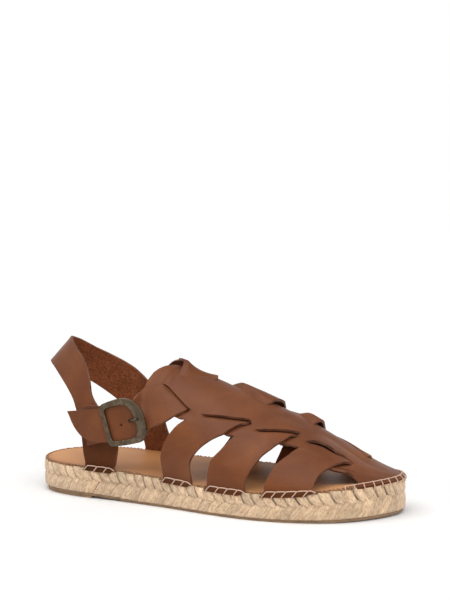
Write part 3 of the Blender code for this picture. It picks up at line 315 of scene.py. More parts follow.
# The buckle's D and its window, in the buckle's own plane, from the middle of the front bar
RingPoint = namedtuple("RingPoint", "along across")
FRAME_OUTER = [RingPoint(*row) for row in (
    (15.2, -3.0), (15.0, 1.5), (13.6, 6.0), (11.3, 9.9), (8.0, 12.9), (3.8, 14.8),
    (-2.0, 15.2), (-7.5, 14.8), (-11.6, 14.2), (-13.6, 13.3), (-14.5, 11.6), (-14.3, 6.0),
    (-14.0, 0.0), (-13.8, -6.0), (-13.5, -11.0), (-12.8, -13.1), (-11.2, -14.0),
    (-6.0, -14.7), (-0.5, -15.2), (5.0, -15.4), (9.6, -15.2), (12.4, -13.6), (14.3, -10.0))]
FRAME_WINDOW = [RingPoint(*row) for row in (
    (8.4, -2.5), (8.3, 0.5), (7.6, 3.8), (6.2, 7.0), (4.2, 9.4), (1.0, 10.7), (-4.0, 10.9),
    (-8.5, 10.7), (-10.6, 10.5), (-11.2, 9.6), (-11.2, 5.0), (-11.0, 0.0), (-10.7, -5.0),
    (-10.4, -9.4), (-9.9, -10.6), (-8.6, -10.9), (-3.5, -11.5), (1.0, -11.8), (4.6, -11.4),
    (7.2, -9.9), (8.2, -6.5))]
FRAME_UNDERSIDE = 0.4       # above the strap's face
FRAME_THICK = 2.0
FRAME_ROUNDING = 0.75
HIDDEN_BAR_RADIUS = 1.2
HIDDEN_BAR_PLACE = -7.5     # along the strap from the middle of the buckle
HIDDEN_BAR_DEPTH = -5.1     # and out from the strap's face
BAR_POST_PLACE = 12.4       # the posts stand this far across from the middle
BAR_POST_RADIUS = 1.0
# The prong, as places along the strap and out from its face
PRONG = ((-7.5, -3.1), (-4.5, -3.7), (0.5, -3.7), (2.6, -2.8), (3.7, -0.6), (5.6, 1.5),
         (8.2, 3.0), (9.4, 3.2), (10.4, 2.9))
PRONG_ACROSS = -0.4
PRONG_RADIUS = 1.0
PRONG_EYE_RADIUS = 2.2
PRONG_EYE_WIRE = 0.75       # radius of the wire in the eye
# The keeper: round the bar, and on as a tail under the strap
LOOP_THICK = 1.5
LOOP_HALF_WIDTH = 10.4
LOOP_END = 3.0              # behind the bar
LOOP_TAIL = [EdgePair(*row) for row in (
    (56.5, -39.4, 35.5, 53.5, -37.2, 61.8), (64.0, -39.4, 37.2, 61.0, -38.0, 62.3),
    (70.0, -39.6, 39.4, 67.5, -38.8, 62.0))]
StrapHole = namedtuple("StrapHole", "along across radius")
STRAP_HOLES = (StrapHole(3.9, -0.4, 1.15), StrapHole(-2.6, -1.7, 0.9))
# The suede back behind the strap's holes: places along it, its edges across it, and its face
LINING = (-5.4, 2.0, 9.0)
LINING_LOWER = -10.2
LINING_UPPER = 10.0
LINING_OUT = -1.83
LINING_THICK = 0.5


# ------------------------------------------------------------------------------- the last

def ease(t):
    t = min(max(t, 0.0), 1.0)
    return t * t * (3 - 2 * t)


def hermite(t, span, a, slope_a, b, slope_b):
    """From a to b over a span, at the share t of it, with a slope at each end."""
    return ((2 * t**3 - 3 * t**2 + 1) * a + (t**3 - 2 * t**2 + t) * span * slope_a
            + (3 * t**2 - 2 * t**3) * b + (t**3 - t**2) * span * slope_b)


def smooth_curve(points, closed=False, steps=8):
    """A Catmull-Rom curve through points, with its tangents scaled to the spacing."""
    count = len(points)
    out = []
    for i in range(count if closed else count - 1):
        p0 = points[(i - 1) % count] if closed or i > 0 else points[0]
        p1 = points[i]
        p2 = points[(i + 1) % count]
        p3 = points[(i + 2) % count] if closed or i + 2 < count else points[-1]
        reach = (p2 - p1).length
        before = max((p1 - p0).length, 1e-6)
        after = max((p3 - p2).length, 1e-6)
        run = (p2 - p1) / reach
        m1 = ((p1 - p0) / before + run) / 2 if (p1 - p0).length else run
        m2 = (run + (p3 - p2) / after) / 2 if (p3 - p2).length else run
        out += [hermite(k / steps, reach, p1, m1, p2, m2) for k in range(steps)]
    if not closed:
        out.append(points[-1].copy())
    return out


def lengths_along(curve, closed=False):
    """The distance from a curve's start to each of its points, and round to its start again."""
    lengths = [0.0]
    for a, b in zip(curve, curve[1:] + curve[:1] if closed else curve[1:]):
        lengths.append(lengths[-1] + (b - a).length)
    return lengths


def step_at(marks, value):
    """The step of a rising list that a value falls in, and the share of that step before it."""
    i = min(max(bisect_right(marks, value) - 1, 0), len(marks) - 2)
    return i, (value - marks[i]) / max(marks[i + 1] - marks[i], 1e-9)


def nearest(rows, share):
    """The row at a share of the way through a list."""
    return rows[min(round(share * (len(rows) - 1)), len(rows) - 1)]


def table_value(table, x):
    if x <= table[0][0]:
        return table[0][1]
    for (x0, y0), (x1, y1) in zip(table, table[1:]):
        if x <= x1:
            return y0 + (y1 - y0) * (x - x0) / (x1 - x0)
    return table[-1][1]


def rounded_table(table, x, reach):
    samples = [table_value(table, x + reach * k / 4) for k in range(-4, 5)]
    return sum(samples) / len(samples)


def top_height(x):
    return rounded_table(TOP_HEIGHT, x, 8.0)


def under_height(x):
    return rounded_table(UNDER_HEIGHT, x, 4.0)


EDGE = smooth_curve([Vector(point) for point in OUTLINE], closed=True, steps=24)
HEEL_INDEX = min(range(len(EDGE)), key=lambda i: EDGE[i].x)
EDGE = EDGE[HEEL_INDEX:] + EDGE[:HEEL_INDEX]
TOE_INDEX = max(range(len(EDGE)), key=lambda i: EDGE[i].x)
HEEL_X = EDGE[0].x
TOE_X = EDGE[TOE_INDEX].x
SIDES = {"outer": EDGE[:TOE_INDEX + 1], "inner": [EDGE[0]] + EDGE[:TOE_INDEX - 1:-1]}
SIDE_XS = {side: [p.x for p in points] for side, points in SIDES.items()}
EDGE_LENGTHS = lengths_along(EDGE, closed=True)
GIRTH = EDGE_LENGTHS[-1]


def side_share(side, x):
    """The place on one side of the outline that reaches x, as a number with a fraction."""
    i, share = step_at(SIDE_XS[side], min(max(x, HEEL_X), TOE_X))
    return i + share


def side_y(side, x):
    points = SIDES[side]
    place = side_share(side, x)
    i = min(int(place), len(points) - 2)
    return points[i].lerp(points[i + 1], place - i).y


def edge_index(side, x):
    place = side_share(side, x)
    return place if side == "outer" else len(EDGE) - place


def edge_point(index, inset=0.0):
    """A point on the outline, moved in by inset."""
    count = len(EDGE)
    low = math.floor(index)
    a, b = EDGE[low % count], EDGE[(low + 1) % count]
    run = (EDGE[(low + 3) % count] - EDGE[(low - 2) % count]).normalized()
    return a.lerp(b, index - low) + Vector((-run.y, run.x)) * inset


def at_height(point, height):
    return Vector((point.x, point.y, height))


def outward_at(index):
    """The level direction out from the sole's side."""
    return at_height(edge_point(index, -1.0) - edge_point(index), 0.0).normalized()


def girth_index(distance):
    """The place on the outline after a distance round it, from the heel by the outer side."""
    i, share = step_at(EDGE_LENGTHS, distance % GIRTH)
    return i + share


def girth_at(index):
    i = int(index) % len(EDGE)
    return EDGE_LENGTHS[i] + (EDGE_LENGTHS[i + 1] - EDGE_LENGTHS[i]) * (index - int(index))


def section_at(along):
    """The last's section at a place along it, smoothly between the rows of its table."""
    along = min(max(along, SECTIONS[0].along), SECTIONS[-1].along)
    i, t = step_at([row.along for row in SECTIONS], along)
    a, b = SECTIONS[i], SECTIONS[i + 1]
    low, high = SECTIONS[max(i - 1, 0)], SECTIONS[min(i + 2, len(SECTIONS) - 1)]
    values = []
    for k in range(1, len(Section._fields)):
        slope_a = (b[k] - low[k]) / (b.along - low.along)
        slope_b = (high[k] - a[k]) / (high.along - a.along)
        values.append(hermite(t, b.along - a.along, a[k], slope_a, b[k], slope_b))
    return Section(along, *values)


def last_point(along, around):
    """A point on the last. Past 90 round, it runs down the side of the sole."""
    section = section_at(along)
    if around < 0:
        foot_x, foot_y = section.outer_x, side_y("outer", section.outer_x)
    else:
        foot_x, foot_y = section.inner_x, side_y("inner", section.inner_x)
    foot = Vector((foot_x, foot_y, top_height(foot_x)))
    w = min(abs(around) / 90.0, 1.0)
    b1, b2, b3 = 3 * w * (1 - w)**2, 3 * w * w * (1 - w), w**3
    reach = b1 * section.fullness + b2 * (1 - section.slant) + b3
    height = (1 - w)**3 + b1 + b2 * section.fullness
    point = Vector((along + (foot.x - along) * reach,
                    section.ridge_y + (foot.y - section.ridge_y) * reach,
                    foot.z + (section.ridge_z - foot.z) * height))
    drop = max(0.0, abs(around) - 90.0) / 10.0
    if drop:
        outward = -1.0 if around < 0 else 1.0
        point += Vector((0.0, outward * LAP_PROUD * min(1.0, drop * 4), -LAP * drop))
    return point


def last_normal(along, around):
    """The way out from the last, away from a line along the inside of the foot."""
    step = 0.5
    around = max(-88.5, min(88.5, around))
    run = last_point(min(along + step, TOE_END), around) - last_point(along - step, around)
    turn = last_point(along, around + 2 * step) - last_point(along, around - 2 * step)
    normal = run.cross(turn).normalized()
    inside = Vector((along, 4.0, 15.0))
    return -normal if normal.dot(last_point(along, around) - inside) < 0 else normal


def on_last(along, around, lift=0.0):
    return last_point(along, around) + last_normal(along, around) * lift


def to_metres(point):
    return Vector((point[0] - FRAME_X, point[1] - FRAME_Y, point[2])) * MM


def buckle_point(along, across, out):
    return BUCKLE_CENTRE + BUCKLE_ALONG * along + BUCKLE_ACROSS * across + BUCKLE_OUT * out


# ------------------------------------------------------------------------------- finishes

def scaled(colour, share):
    return tuple(min(1.0, c * share) for c in colour)


class Nodes:
    """The node tree of a material or a world. An input takes a value or another's output."""

    def __init__(self, owner):
        owner.use_nodes = True
        self.owner = owner
        self.tree = owner.node_tree
        self.coords = self.add("TexCoord").outputs

    def feed(self, socket, value):
        if isinstance(value, bpy.types.NodeSocket):
            self.tree.links.new(value, socket)
        elif socket.type == "RGBA" and len(value) == 3:
            socket.default_value = (*value, 1.0)
        else:
            socket.default_value = value

    def add(self, kind, settings=None, **inputs):
        new = self.tree.nodes.new("ShaderNode" + kind)
        for key, value in (settings or {}).items():
            setattr(new, key, value)
        for key, value in inputs.items():
            self.feed(new.inputs[key.replace("_", " ")], value)
        return new

    def noise(self, per_metre, detail=2.0, rough=0.5, distortion=0.0, coords=None):
        return self.add("TexNoise", Vector=coords or self.coords["Object"], Scale=per_metre,
                        Detail=detail, Roughness=rough, Distortion=distortion).outputs["Fac"]

    def pores(self, per_metre):
        return self.add("TexVoronoi", {"feature": "F1"}, Vector=self.coords["Object"],
                        Scale=per_metre).outputs["Distance"]

    def bands(self, direction, coords, **inputs):
        return self.add("TexWave", {"wave_type": "BANDS", "bands_direction": direction},
                        Vector=coords, **inputs).outputs["Fac"]

    def strand(self):
        """Places round and along a thread."""
        return self.add("UVMap", {"uv_map": "strand"}).outputs["UV"]

    def attribute(self, name):
        return self.add("Attribute", {"attribute_name": name}).outputs["Fac"]

    def math(self, operation, *values):
        new = self.add("Math", {"operation": operation})
        for socket, value in zip(new.inputs, values):
            self.feed(socket, value)
        return new.outputs[0]

    def spread(self, value, low, high, to_low, to_high):
        """Takes a value from its range, low to high, to another one."""
        return self.add("MapRange", {"clamp": True}, Value=value, From_Min=low, From_Max=high,
                        To_Min=to_low, To_Max=to_high).outputs["Result"]

    def steps(self, factor, *steps):
        """A ramp from (position, colour) steps."""
        ramp = self.add("ValToRGB", Fac=factor)
        marks = ramp.color_ramp.elements
        while len(marks) < len(steps):
            marks.new(0.5)
        for mark, (position, colour) in zip(marks, steps):
            mark.position = position
            mark.color = (*colour, 1.0)
        return ramp.outputs["Color"]

    def mixed(self, factor, a, b, blend="MIX"):
        mix = self.add("Mix", {"data_type": "RGBA", "blend_type": blend})
        for number, value in ((0, factor), (6, a), (7, b)):
            self.feed(mix.inputs[number], value)
        return mix.outputs[2]

    def toned(self, colour, value, low, high, to_low, to_high, factor=1.0):
        """A colour made darker or lighter by a value's range."""
        tone = self.spread(value, low, high, to_low, to_high)
        return self.mixed(factor, colour, tone, "MULTIPLY")

    def surface(self, colour, roughness, relief, **inputs):
        """The finished material. Its relief is (height, strength, distance in mm) layers, the
        coarsest first."""
        shader = self.tree.nodes["Principled BSDF"]
        for height, strength, distance in relief:
            layer = self.add("Bump", Height=height, Strength=strength, Distance=distance * MM)
            if "Normal" in inputs:
                self.feed(layer.inputs["Normal"], inputs["Normal"])
            inputs["Normal"] = layer.outputs["Normal"]
        inputs.update(Base_Color=colour, Roughness=roughness)
        for key, value in inputs.items():
            self.feed(shader.inputs[key.replace("_", " ")], value)
        return self.owner


def new_finish(name):
    return Nodes(bpy.data.materials.new(name))


def leather_finish(name, deep, mid, light, roughness):
    """Smooth waxed leather: cloudy dye, fine grain and pores, rubbed, paler edges and painted
    shade.
    """
    nodes = new_finish(name)
    cloud = nodes.noise(34.0, 3.0, 0.55, 0.6)
    fine = nodes.noise(900.0, 3.0, 0.6)
    scuff = nodes.noise(260.0, 3.0, 0.65)
    edge, shade = nodes.attribute("edge"), nodes.attribute("shade")
    colour = nodes.steps(cloud, (0.30, deep), (0.52, mid), (0.72, light))
    worn = nodes.math("MULTIPLY", nodes.spread(edge, 0.7, 1.0, 0.0, 0.35),
                      nodes.spread(scuff, 0.35, 0.65, 0.1, 0.55))
    colour = nodes.mixed(worn, colour, scaled(light, 1.7))
    # painted shade: towards a deep brown where the sheet's shade attribute is high
    colour = nodes.mixed(nodes.spread(shade, 0.0, 1.3, 0.0, 0.75), colour, scaled(deep, 0.30))
    colour = nodes.toned(colour, fine, 0.3, 0.7, 0.88, 1.08)
    gloss = nodes.spread(fine, 0.3, 0.7, roughness - 0.06, roughness + 0.08)
    return nodes.surface(
        colour, gloss, ((cloud, 0.25, 0.8), (fine, 0.22, 0.08), (nodes.pores(1500.0), 0.18, 0.05)),
        # and less sheen in the painted shade
        Specular_IOR_Level=nodes.spread(shade, 0.0, 1.0, 0.21, 0.04), Sheen_Weight=0.06,
        Sheen_Roughness=0.5)


def suede_finish(name, deep, light):
    """The rough flesh side: a short nap with paler specks, and painted shade inside the straps."""
    nodes = new_finish(name)
    nap = nodes.noise(780.0, 4.0, 0.75)
    patches = nodes.noise(120.0, 3.0, 0.6)
    colour = nodes.steps(nap, (0.31, deep), (0.55, light), (0.76, scaled(light, 1.7)))
    colour = nodes.toned(colour, patches, 0.3, 0.7, 0.6, 1.15, factor=0.5)
    # painted shade on the inside of a strap
    colour = nodes.mixed(nodes.spread(nodes.attribute("inside_shade"), 0.0, 1.0, 0.0, 0.72), colour,
                         scaled(deep, 0.25))
    return nodes.surface(colour, 0.95, ((patches, 0.3, 0.4), (nap, 0.6, 0.25)),
                         Specular_IOR_Level=0.06)


def cut_edge_finish(name, deep, light):
    """The bare cut edge, with its fibres showing in layers."""
    nodes = new_finish(name)
    fibres = nodes.noise(1100.0, 4.0, 0.7)
    colour = nodes.steps(nodes.noise(160.0), (0.35, deep), (0.65, light))
    colour = nodes.toned(colour, fibres, 0.25, 0.75, 0.7, 1.2, factor=0.6)
    return nodes.surface(colour, 0.72, ((fibres, 0.5, 0.15),))


def jute_finish(name, deep, mid, light, groove_shade):
    """Spun jute: fibres along each strand, with a few paler and darker ones, and painted shade at
    its sides.
    """
    nodes = new_finish(name)
    turned = nodes.add("Mapping", {"vector_type": "POINT"}, Vector=nodes.strand(),
                       Rotation=(0.0, 0.0, 0.10), Scale=(14.0, 0.35, 1.0)).outputs["Vector"]
    fibres = nodes.noise(1.0, 4.0, 0.65, 0.4, turned)
    twists = nodes.bands("X", turned, Scale=0.32, Distortion=2.5, Detail=2.0)
    fuzz = nodes.noise(1800.0, 3.0, 0.7)
    patches = nodes.noise(55.0, 3.0, 0.6)
    colour = nodes.steps(fibres, (0.27, deep), (0.48, mid), (0.70, light))
    colour = nodes.toned(colour, nodes.attribute("tone"), 0.0, 1.0, 0.84, 1.10)
    colour = nodes.toned(colour, patches, 0.3, 0.7, 0.90, 1.08)
    colour = nodes.toned(colour, fuzz, 0.25, 0.75, 0.80, 1.14)
    # painted shade: each strand darker towards its sides, in the grooves between strands
    groove_shade_mask = nodes.math("MULTIPLY_ADD", fibres, 0.5, nodes.attribute("side"))
    colour = nodes.toned(colour, groove_shade_mask, 0.98, 1.22, 1.0, groove_shade)
    return nodes.surface(
        colour, 0.92, ((twists, 0.45, 0.5), (fibres, 0.75, 0.4), (fuzz, 0.4, 0.15)),
        Sheen_Weight=0.25, Sheen_Roughness=0.6, Specular_IOR_Level=0.25)


def rubber_finish(name, deep, light):
    """Matt moulded crepe rubber, a little mottled and dusty."""
    nodes = new_finish(name)
    mottle = nodes.noise(140.0, 4.0, 0.65)
    colour = nodes.steps(mottle, (0.30, deep), (0.68, light))
    return nodes.surface(colour, nodes.spread(mottle, 0.3, 0.7, 0.62, 0.85),
                         ((mottle, 0.3, 0.4), (nodes.noise(1100.0), 0.3, 0.12)))


def metal_finish(name, deep, mid, light):
    """Aged cast metal: mottled darker and brighter, shinier where brighter, with small pits."""
    nodes = new_finish(name)
    cloud = nodes.noise(240.0, 4.0, 0.65, 0.5)
    pits = nodes.noise(1500.0, 3.0, 0.6)
    colour = nodes.steps(cloud, (0.30, deep), (0.5, mid), (0.72, light))
    return nodes.surface(colour, nodes.spread(cloud, 0.3, 0.7, 0.50, 0.30),
                         ((cloud, 0.2, 0.25), (pits, 0.25, 0.08)), Metallic=1.0)


def thread_finish(name, deep, light):
    """Twisted waxed thread, with its plies slanting round it."""
    nodes = new_finish(name)
    plies = nodes.bands("DIAGONAL", nodes.strand(), Scale=1.6, Distortion=0.4)
    fluff = nodes.noise(1500.0, 3.0, 0.7)
    colour = nodes.steps(plies, (0.1, deep), (0.6, light))
    colour = nodes.toned(colour, fluff, 0.3, 0.7, 0.82, 1.1, factor=0.6)
    return nodes.surface(colour, 0.8, ((plies, 0.6, 0.2), (fluff, 0.4, 0.1)), Sheen_Weight=0.2)


def insole_finish(name, deep, light, rim):
    """Vegetable-tanned lining leather, deeper in colour towards its edge, pressed and rubbed."""
    nodes = new_finish(name)
    cloud = nodes.noise(22.0, 3.0, 0.55, 0.4)
    fine = nodes.noise(700.0, 3.0, 0.6)
    colour = nodes.steps(cloud, (0.30, deep), (0.70, light))
    colour = nodes.mixed(nodes.spread(nodes.attribute("edge"), 0.0, 1.0, 0.0, 0.75), colour, rim)
    colour = nodes.toned(colour, fine, 0.3, 0.7, 0.90, 1.07, factor=0.8)
    return nodes.surface(colour, nodes.spread(fine, 0.3, 0.7, 0.46, 0.62),
                         ((cloud, 0.2, 0.8), (fine, 0.2, 0.08), (nodes.pores(1200.0), 0.2, 0.06)))


FINISH = {
    "leather": leather_finish("waxed leather", (0.120, 0.0325, 0.0078), (0.150, 0.0425, 0.0104),
                              (0.184, 0.0555, 0.0140), 0.45),
    "suede": suede_finish("flesh side", (0.100, 0.028, 0.011), (0.235, 0.078, 0.033)),
    "cut edge": cut_edge_finish("cut edge", (0.085, 0.028, 0.012), (0.21, 0.082, 0.040)),
    "insole": insole_finish("insole leather", (0.52, 0.220, 0.072), (0.64, 0.298, 0.112),
                            (0.46, 0.165, 0.045)),
    "insole edge": cut_edge_finish("insole cut edge", (0.20, 0.085, 0.032), (0.40, 0.200, 0.090)),
    # the last number says how dark the painted shade in the grooves between strands gets
    "jute": jute_finish("spun jute", (0.38, 0.235, 0.125), (0.66, 0.455, 0.282),
                        (0.88, 0.665, 0.45), 0.42),
    "flat jute": jute_finish("pressed jute", (0.40, 0.25, 0.135), (0.62, 0.425, 0.262),
                             (0.80, 0.595, 0.395), 0.80),
    # the jute behind the strands is darker than they are: painted shade in the gaps between them
    "jute core in shade": cut_edge_finish("jute core in shade", (0.19, 0.115, 0.060), (0.30, 0.195, 0.105)),
    "rubber": rubber_finish("crepe rubber", (0.22, 0.13, 0.07), (0.36, 0.23, 0.13)),
    "metal": metal_finish("aged metal", (0.072, 0.053, 0.035), (0.112, 0.084, 0.056),
                          (0.190, 0.147, 0.102)),
    "thread": thread_finish("pale thread", (0.46, 0.265, 0.18), (0.77, 0.52, 0.385)),
    "whip thread": thread_finish("brown thread", (0.16, 0.070, 0.026), (0.46, 0.240, 0.105)),
}
SHOE_LEATHER = ("leather", "suede", "cut edge")


# ------------------------------------------------------------------------------- making

def mesh_from(bm, name):
    mesh = bpy.data.meshes.new(name)
    bm.to_mesh(mesh)
    bm.free()
    return mesh


def new_object(name, data):
    new = bpy.data.objects.new(name, data)
    bpy.context.scene.collection.objects.link(new)
    return new


def new_grid(columns, rows, size=1.0):
    bm = bmesh.new()
    bmesh.ops.create_grid(bm, x_segments=columns, y_segments=rows, size=size)
    return bm


def grid_share(vert):
    """The shares of a new grid's rows and columns that a corner is at."""
    return (vert.co.y + 1) / 2, (vert.co.x + 1) / 2


def add_piece(name, mesh, finishes, stands_for):
    piece = new_object(name, mesh)
    for key in finishes:
        mesh.materials.append(FINISH[key])
    mesh.shade_smooth()
    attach(piece, "root")
    if stands_for:
        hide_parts(stands_for)
    return piece


def thicken(piece, thick, back, rim, rubbed):
    """Gives a sheet its thickness behind its face, and rubs its edges round. back and rim say
    how many finishes on from the face's own those sides take."""
    wall = piece.modifiers.new("Thickness", "SOLIDIFY")
    wall.thickness = thick * MM
    wall.offset = -1.0
    wall.use_even_offset = False
    wall.material_offset = back
    wall.material_offset_rim = rim
    rub = piece.modifiers.new("Rubbed edges", "BEVEL")
    rub.width = rubbed * MM
    rub.segments = 2
    rub.profile = 0.5
    rub.limit_method = "ANGLE"
    rub.angle_limit = math.radians(50.0)
    rub.harden_normals = True
    rub.use_clamp_overlap = True
    rub.material = -1


def hide_sheet(name, rows, columns, place, outward, thick=LEATHER, finishes=SHOE_LEATHER,
               stands_for="upper", waves=0.0, holes=(), cut_away=None, shaded=None, painted_inside_shade=None):
    """A sheet of leather, laid from a grid and given its thickness on the inner side. place
    takes shares of its rows and columns to a point, and cut_away says which of them to leave
    out. Its grain side takes painted shade near the sole and where it laps over the jute. The
    two last functions of a point paint more shadow on the grain side and shade on the flesh
    side. The flesh side and the cut edges take the second and third finish."""
    bm = new_grid(columns, rows)
    edge = bm.verts.layers.float.new("edge")
    shade = bm.verts.layers.float.new("shade")
    inside_shade = bm.verts.layers.float.new("inside_shade")
    shares = {vert: grid_share(vert) for vert in bm.verts}
    if cut_away:
        gone = [face for face in bm.faces
                if cut_away(*(sum(shares[v][k] for v in face.verts) / 4 for k in (0, 1)))]
        bmesh.ops.delete(bm, geom=gone, context="FACES")
    for vert, (row, share) in shares.items():
        if vert.is_valid:
            vert.co = to_metres(place(row, share))
    bmesh.ops.dissolve_degenerate(bm, edges=bm.edges, dist=0.02 * MM)
    for centre, radius in holes:
        punch_hole(bm, to_metres(centre), radius * MM)
    bm.normal_update()
    lean = sum(face.normal.dot(outward(face.calc_center_median() / MM)) for face in bm.faces)
    if lean < 0:
        bmesh.ops.reverse_faces(bm, faces=bm.faces)
        bm.normal_update()
    width = max((place(0.5, 1.0) - place(0.5, 0.0)).length, 1.0)
    for vert, (row, share) in shares.items():
        if not vert.is_valid:
            continue
        vert[edge] = max(0.0, 1.0 - min(share, 1 - share) * width / WORN_EDGE)
        over_sole = vert.co.z / MM - top_height(vert.co.x / MM + FRAME_X)
        # painted shade: a little darker near the sole, and much darker where it laps over the jute
        vert[shade] = 0.55 * ease(-over_sole / 1.2) + 0.35 * ease(1 - over_sole / 7.0)
        # more painted shadow on the grain side, where the given function asks for it
        if shaded:
            vert[shade] += shaded(vert.co / MM)
        # painted shade on the flesh side, where the last function asks for it
        vert[inside_shade] = painted_inside_shade(vert.co / MM) if painted_inside_shade else 0.0
        if waves:
            roll = noise.noise(vert.co * 42.0) + 0.5 * noise.noise(vert.co * 95.0)
            vert.co += vert.normal * roll * waves * MM
    piece = add_piece(name, mesh_from(bm, name), finishes, stands_for)
    thicken(piece, thick, 1, 2, RIM)


def hide_strip(name, pairs, steps, columns, outward, **looks):
    """A sheet of leather between two edges, given as pairs of points across it."""
    edges = [smooth_curve([Vector(pair[k]) for pair in pairs], steps=steps) for k in (0, 1)]
    rows = list(zip(*edges))

    def place(row, share):
        lower, upper = nearest(rows, row)
        return lower.lerp(upper, share)

    hide_sheet(name, len(rows) - 1, columns, place, outward, **looks)


def punch_hole(bm, centre, radius):
    """A round hole through a sheet, at the corner of its grid nearest to centre."""
    middle = min(bm.verts, key=lambda v: (v.co - centre).length)
    rim = [e for face in middle.link_faces for e in face.edges if middle not in e.verts]
    bmesh.ops.delete(bm, geom=list(middle.link_faces), context="FACES")
    cut = bmesh.ops.subdivide_edges(bm, edges=rim, cuts=1)
    corners = {v for e in cut["geom_split"] if isinstance(e, bmesh.types.BMEdge)
               for v in e.verts}
    for vert in corners:
        reach = vert.co - centre
        vert.co = centre + reach.normalized() * radius


def tube_form(sides, rings):
    """A tube of radius 1 from 0 to 1 along Z, closed at its ends, with its own UV map."""
    bm = bmesh.new()
    bmesh.ops.create_cone(bm, cap_ends=True, cap_tris=False, segments=sides, radius1=1.0,
                          radius2=1.0, depth=1.0)
    long_edges = [e for e in bm.edges if abs(e.verts[0].co.z - e.verts[1].co.z) > 0.5]
    bmesh.ops.subdivide_edges(bm, edges=long_edges, cuts=rings - 1, use_grid_fill=True)
    bmesh.ops.translate(bm, verts=bm.verts, vec=(0.0, 0.0, 0.5))
    uv = bm.loops.layers.uv.new("strand")
    for face in bm.faces:
        middle = face.calc_center_median()
        facing = math.atan2(middle.y, middle.x) / math.tau
        for loop in face.loops:
            turn = math.atan2(loop.vert.co.y, loop.vert.co.x) / math.tau
            loop[uv].uv = (turn + round(facing - turn), loop.vert.co.z)
    return mesh_from(bm, "tube")


# The path of a tube, its length for the UV map, and its tone. The path takes a share of the
# way to the centre, the across and out directions, the half width and the half thickness.
Course = namedtuple("Course", "place length tone")


def lay_tubes(name, form, courses, finish, stands_for):
    """Many bent tubes in one piece, each along its course."""
    bm = bmesh.new()
    per_tube = len(form.vertices)
    tone = bm.verts.layers.float.new("tone")
    side = bm.verts.layers.float.new("side")
    for number, course in enumerate(courses):
        bm.from_mesh(form)
        bm.verts.ensure_lookup_table()
        places = {}
        for i in range(number * per_tube, (number + 1) * per_tube):
            vert = bm.verts[i]
            t = min(max(vert.co.z, 0.0), 1.0)
            key = round(t, 4)
            if key not in places:
                places[key] = course.place(t)
            centre, across, out, half_width, half_thick = places[key]
            vert[tone] = course.tone
            vert[side] = abs(vert.co.x)
            vert.co = to_metres(centre + across * vert.co.x * half_width
                                + out * vert.co.y * half_thick)
    uv = bm.loops.layers.uv.active
    for number, face in enumerate(bm.faces):
        course = courses[number // len(form.polygons)]
        for loop in face.loops:
            loop[uv].uv = (loop[uv].uv.x + course.tone * 7.0,
                           loop[uv].uv.y * course.length + course.tone * 50.0)
    bmesh.ops.recalc_face_normals(bm, faces=bm.faces)
    add_piece(name, mesh_from(bm, name), (finish,), stands_for)


def path_course(points, radius, tone, taper=0.0, steps=6):
    """A round thread through points."""
    curve = smooth_curve([Vector(p) for p in points], steps=steps)
    lengths = lengths_along(curve)
    total = lengths[-1]

    def at(distance):
        i, share = step_at(lengths, min(max(distance, 0.0), total))
        return curve[i].lerp(curve[i + 1], share)

    def place(t):
        centre = at(t * total)
        run = (at(t * total + 0.2) - at(t * total - 0.2)).normalized()
        side = run.cross(Vector((0.123, 0.271, 0.954))).normalized()
        size = radius * (1 - taper * (2 * t - 1)**4)
        return centre, side, side.cross(run), size, size

    return Course(place, total, tone)


# ------------------------------------------------------------------------------- the upper

def smooth_rows(table):
    """Rows for a strap's mesh, each a place round the last and the table's values there. They
    run smoothly from one row of the table to the next, but for its sharp corners."""
    rows = [tuple(float(v) for v in row) for row in table]
    runs, start = [], 0
    for i in range(1, len(rows)):
        if abs(rows[i][0] - rows[i - 1][0]) < CORNER:
            runs.append(rows[start:i])
            start = i
    runs.append(rows[start:])

    def on_run(run, place):
        if len(run) == 1:
            return run[0][1:]
        marks = [abs(row[0] - run[0][0]) for row in run]
        i, t = step_at(marks, min(max(abs(place - run[0][0]), 0.0), marks[-1]))
        span = marks[i + 1] - marks[i]
        values = []
        for k in range(1, len(run[0])):
            a, b = run[i][k], run[i + 1][k]
            slopes = [(b - a) / span if j in (0, len(run) - 1)
                      else (run[j + 1][k] - run[j - 1][k]) / (marks[j + 1] - marks[j - 1])
                      for j in (i, i + 1)]
            values.append(hermite(t, span, a, slopes[0], b, slopes[1]))
        return values

    stops = []
    for run in runs:
        first, last = run[0][0], run[-1][0]
        count = max(1, round(abs(last - first) / ROW_STEP))
        for k in range(count + 1 if len(run) > 1 else 1):
            place = first + (last - first) * k / count
            stops.append((place, on_run(run, place)))
    return stops


def signed_distance(line, along, around):
    """How far a place is from a line on the last, and above 0 on the sole's side of it."""
    best = 1e9
    for (a0, r0), (a1, r1) in zip(line, line[1:]):
        dx, dy = a1 - a0, (r1 - r0) * ROUND_STEP
        px, py = along - a0, (around - r0) * ROUND_STEP
        t = min(max((px * dx + py * dy) / (dx * dx + dy * dy), 0.0), 1.0)
        best = min(best, math.hypot(px - dx * t, py - dy * t))
    i, _ = step_at([row[0] for row in line], along)
    (a0, r0), (a1, r1) = line[i], line[i + 1]
    return best if around > r0 + (r1 - r0) * (along - a0) / (a1 - a0) else -best


def creased(along, around):
    """The soft marks that wear has left: a few shallow hollows and folds, in mm."""
    depth = 0.0
    for mark in CREASES:
        turn = math.radians(mark.turn)
        a, r = along - mark.along, (around - mark.round) * ROUND_STEP
        on = (a * math.cos(turn) + r * math.sin(turn)) / mark.length
        off = (-a * math.sin(turn) + r * math.cos(turn)) / mark.width
        depth += mark.depth * math.exp(-on * on - off * off)
    return -depth


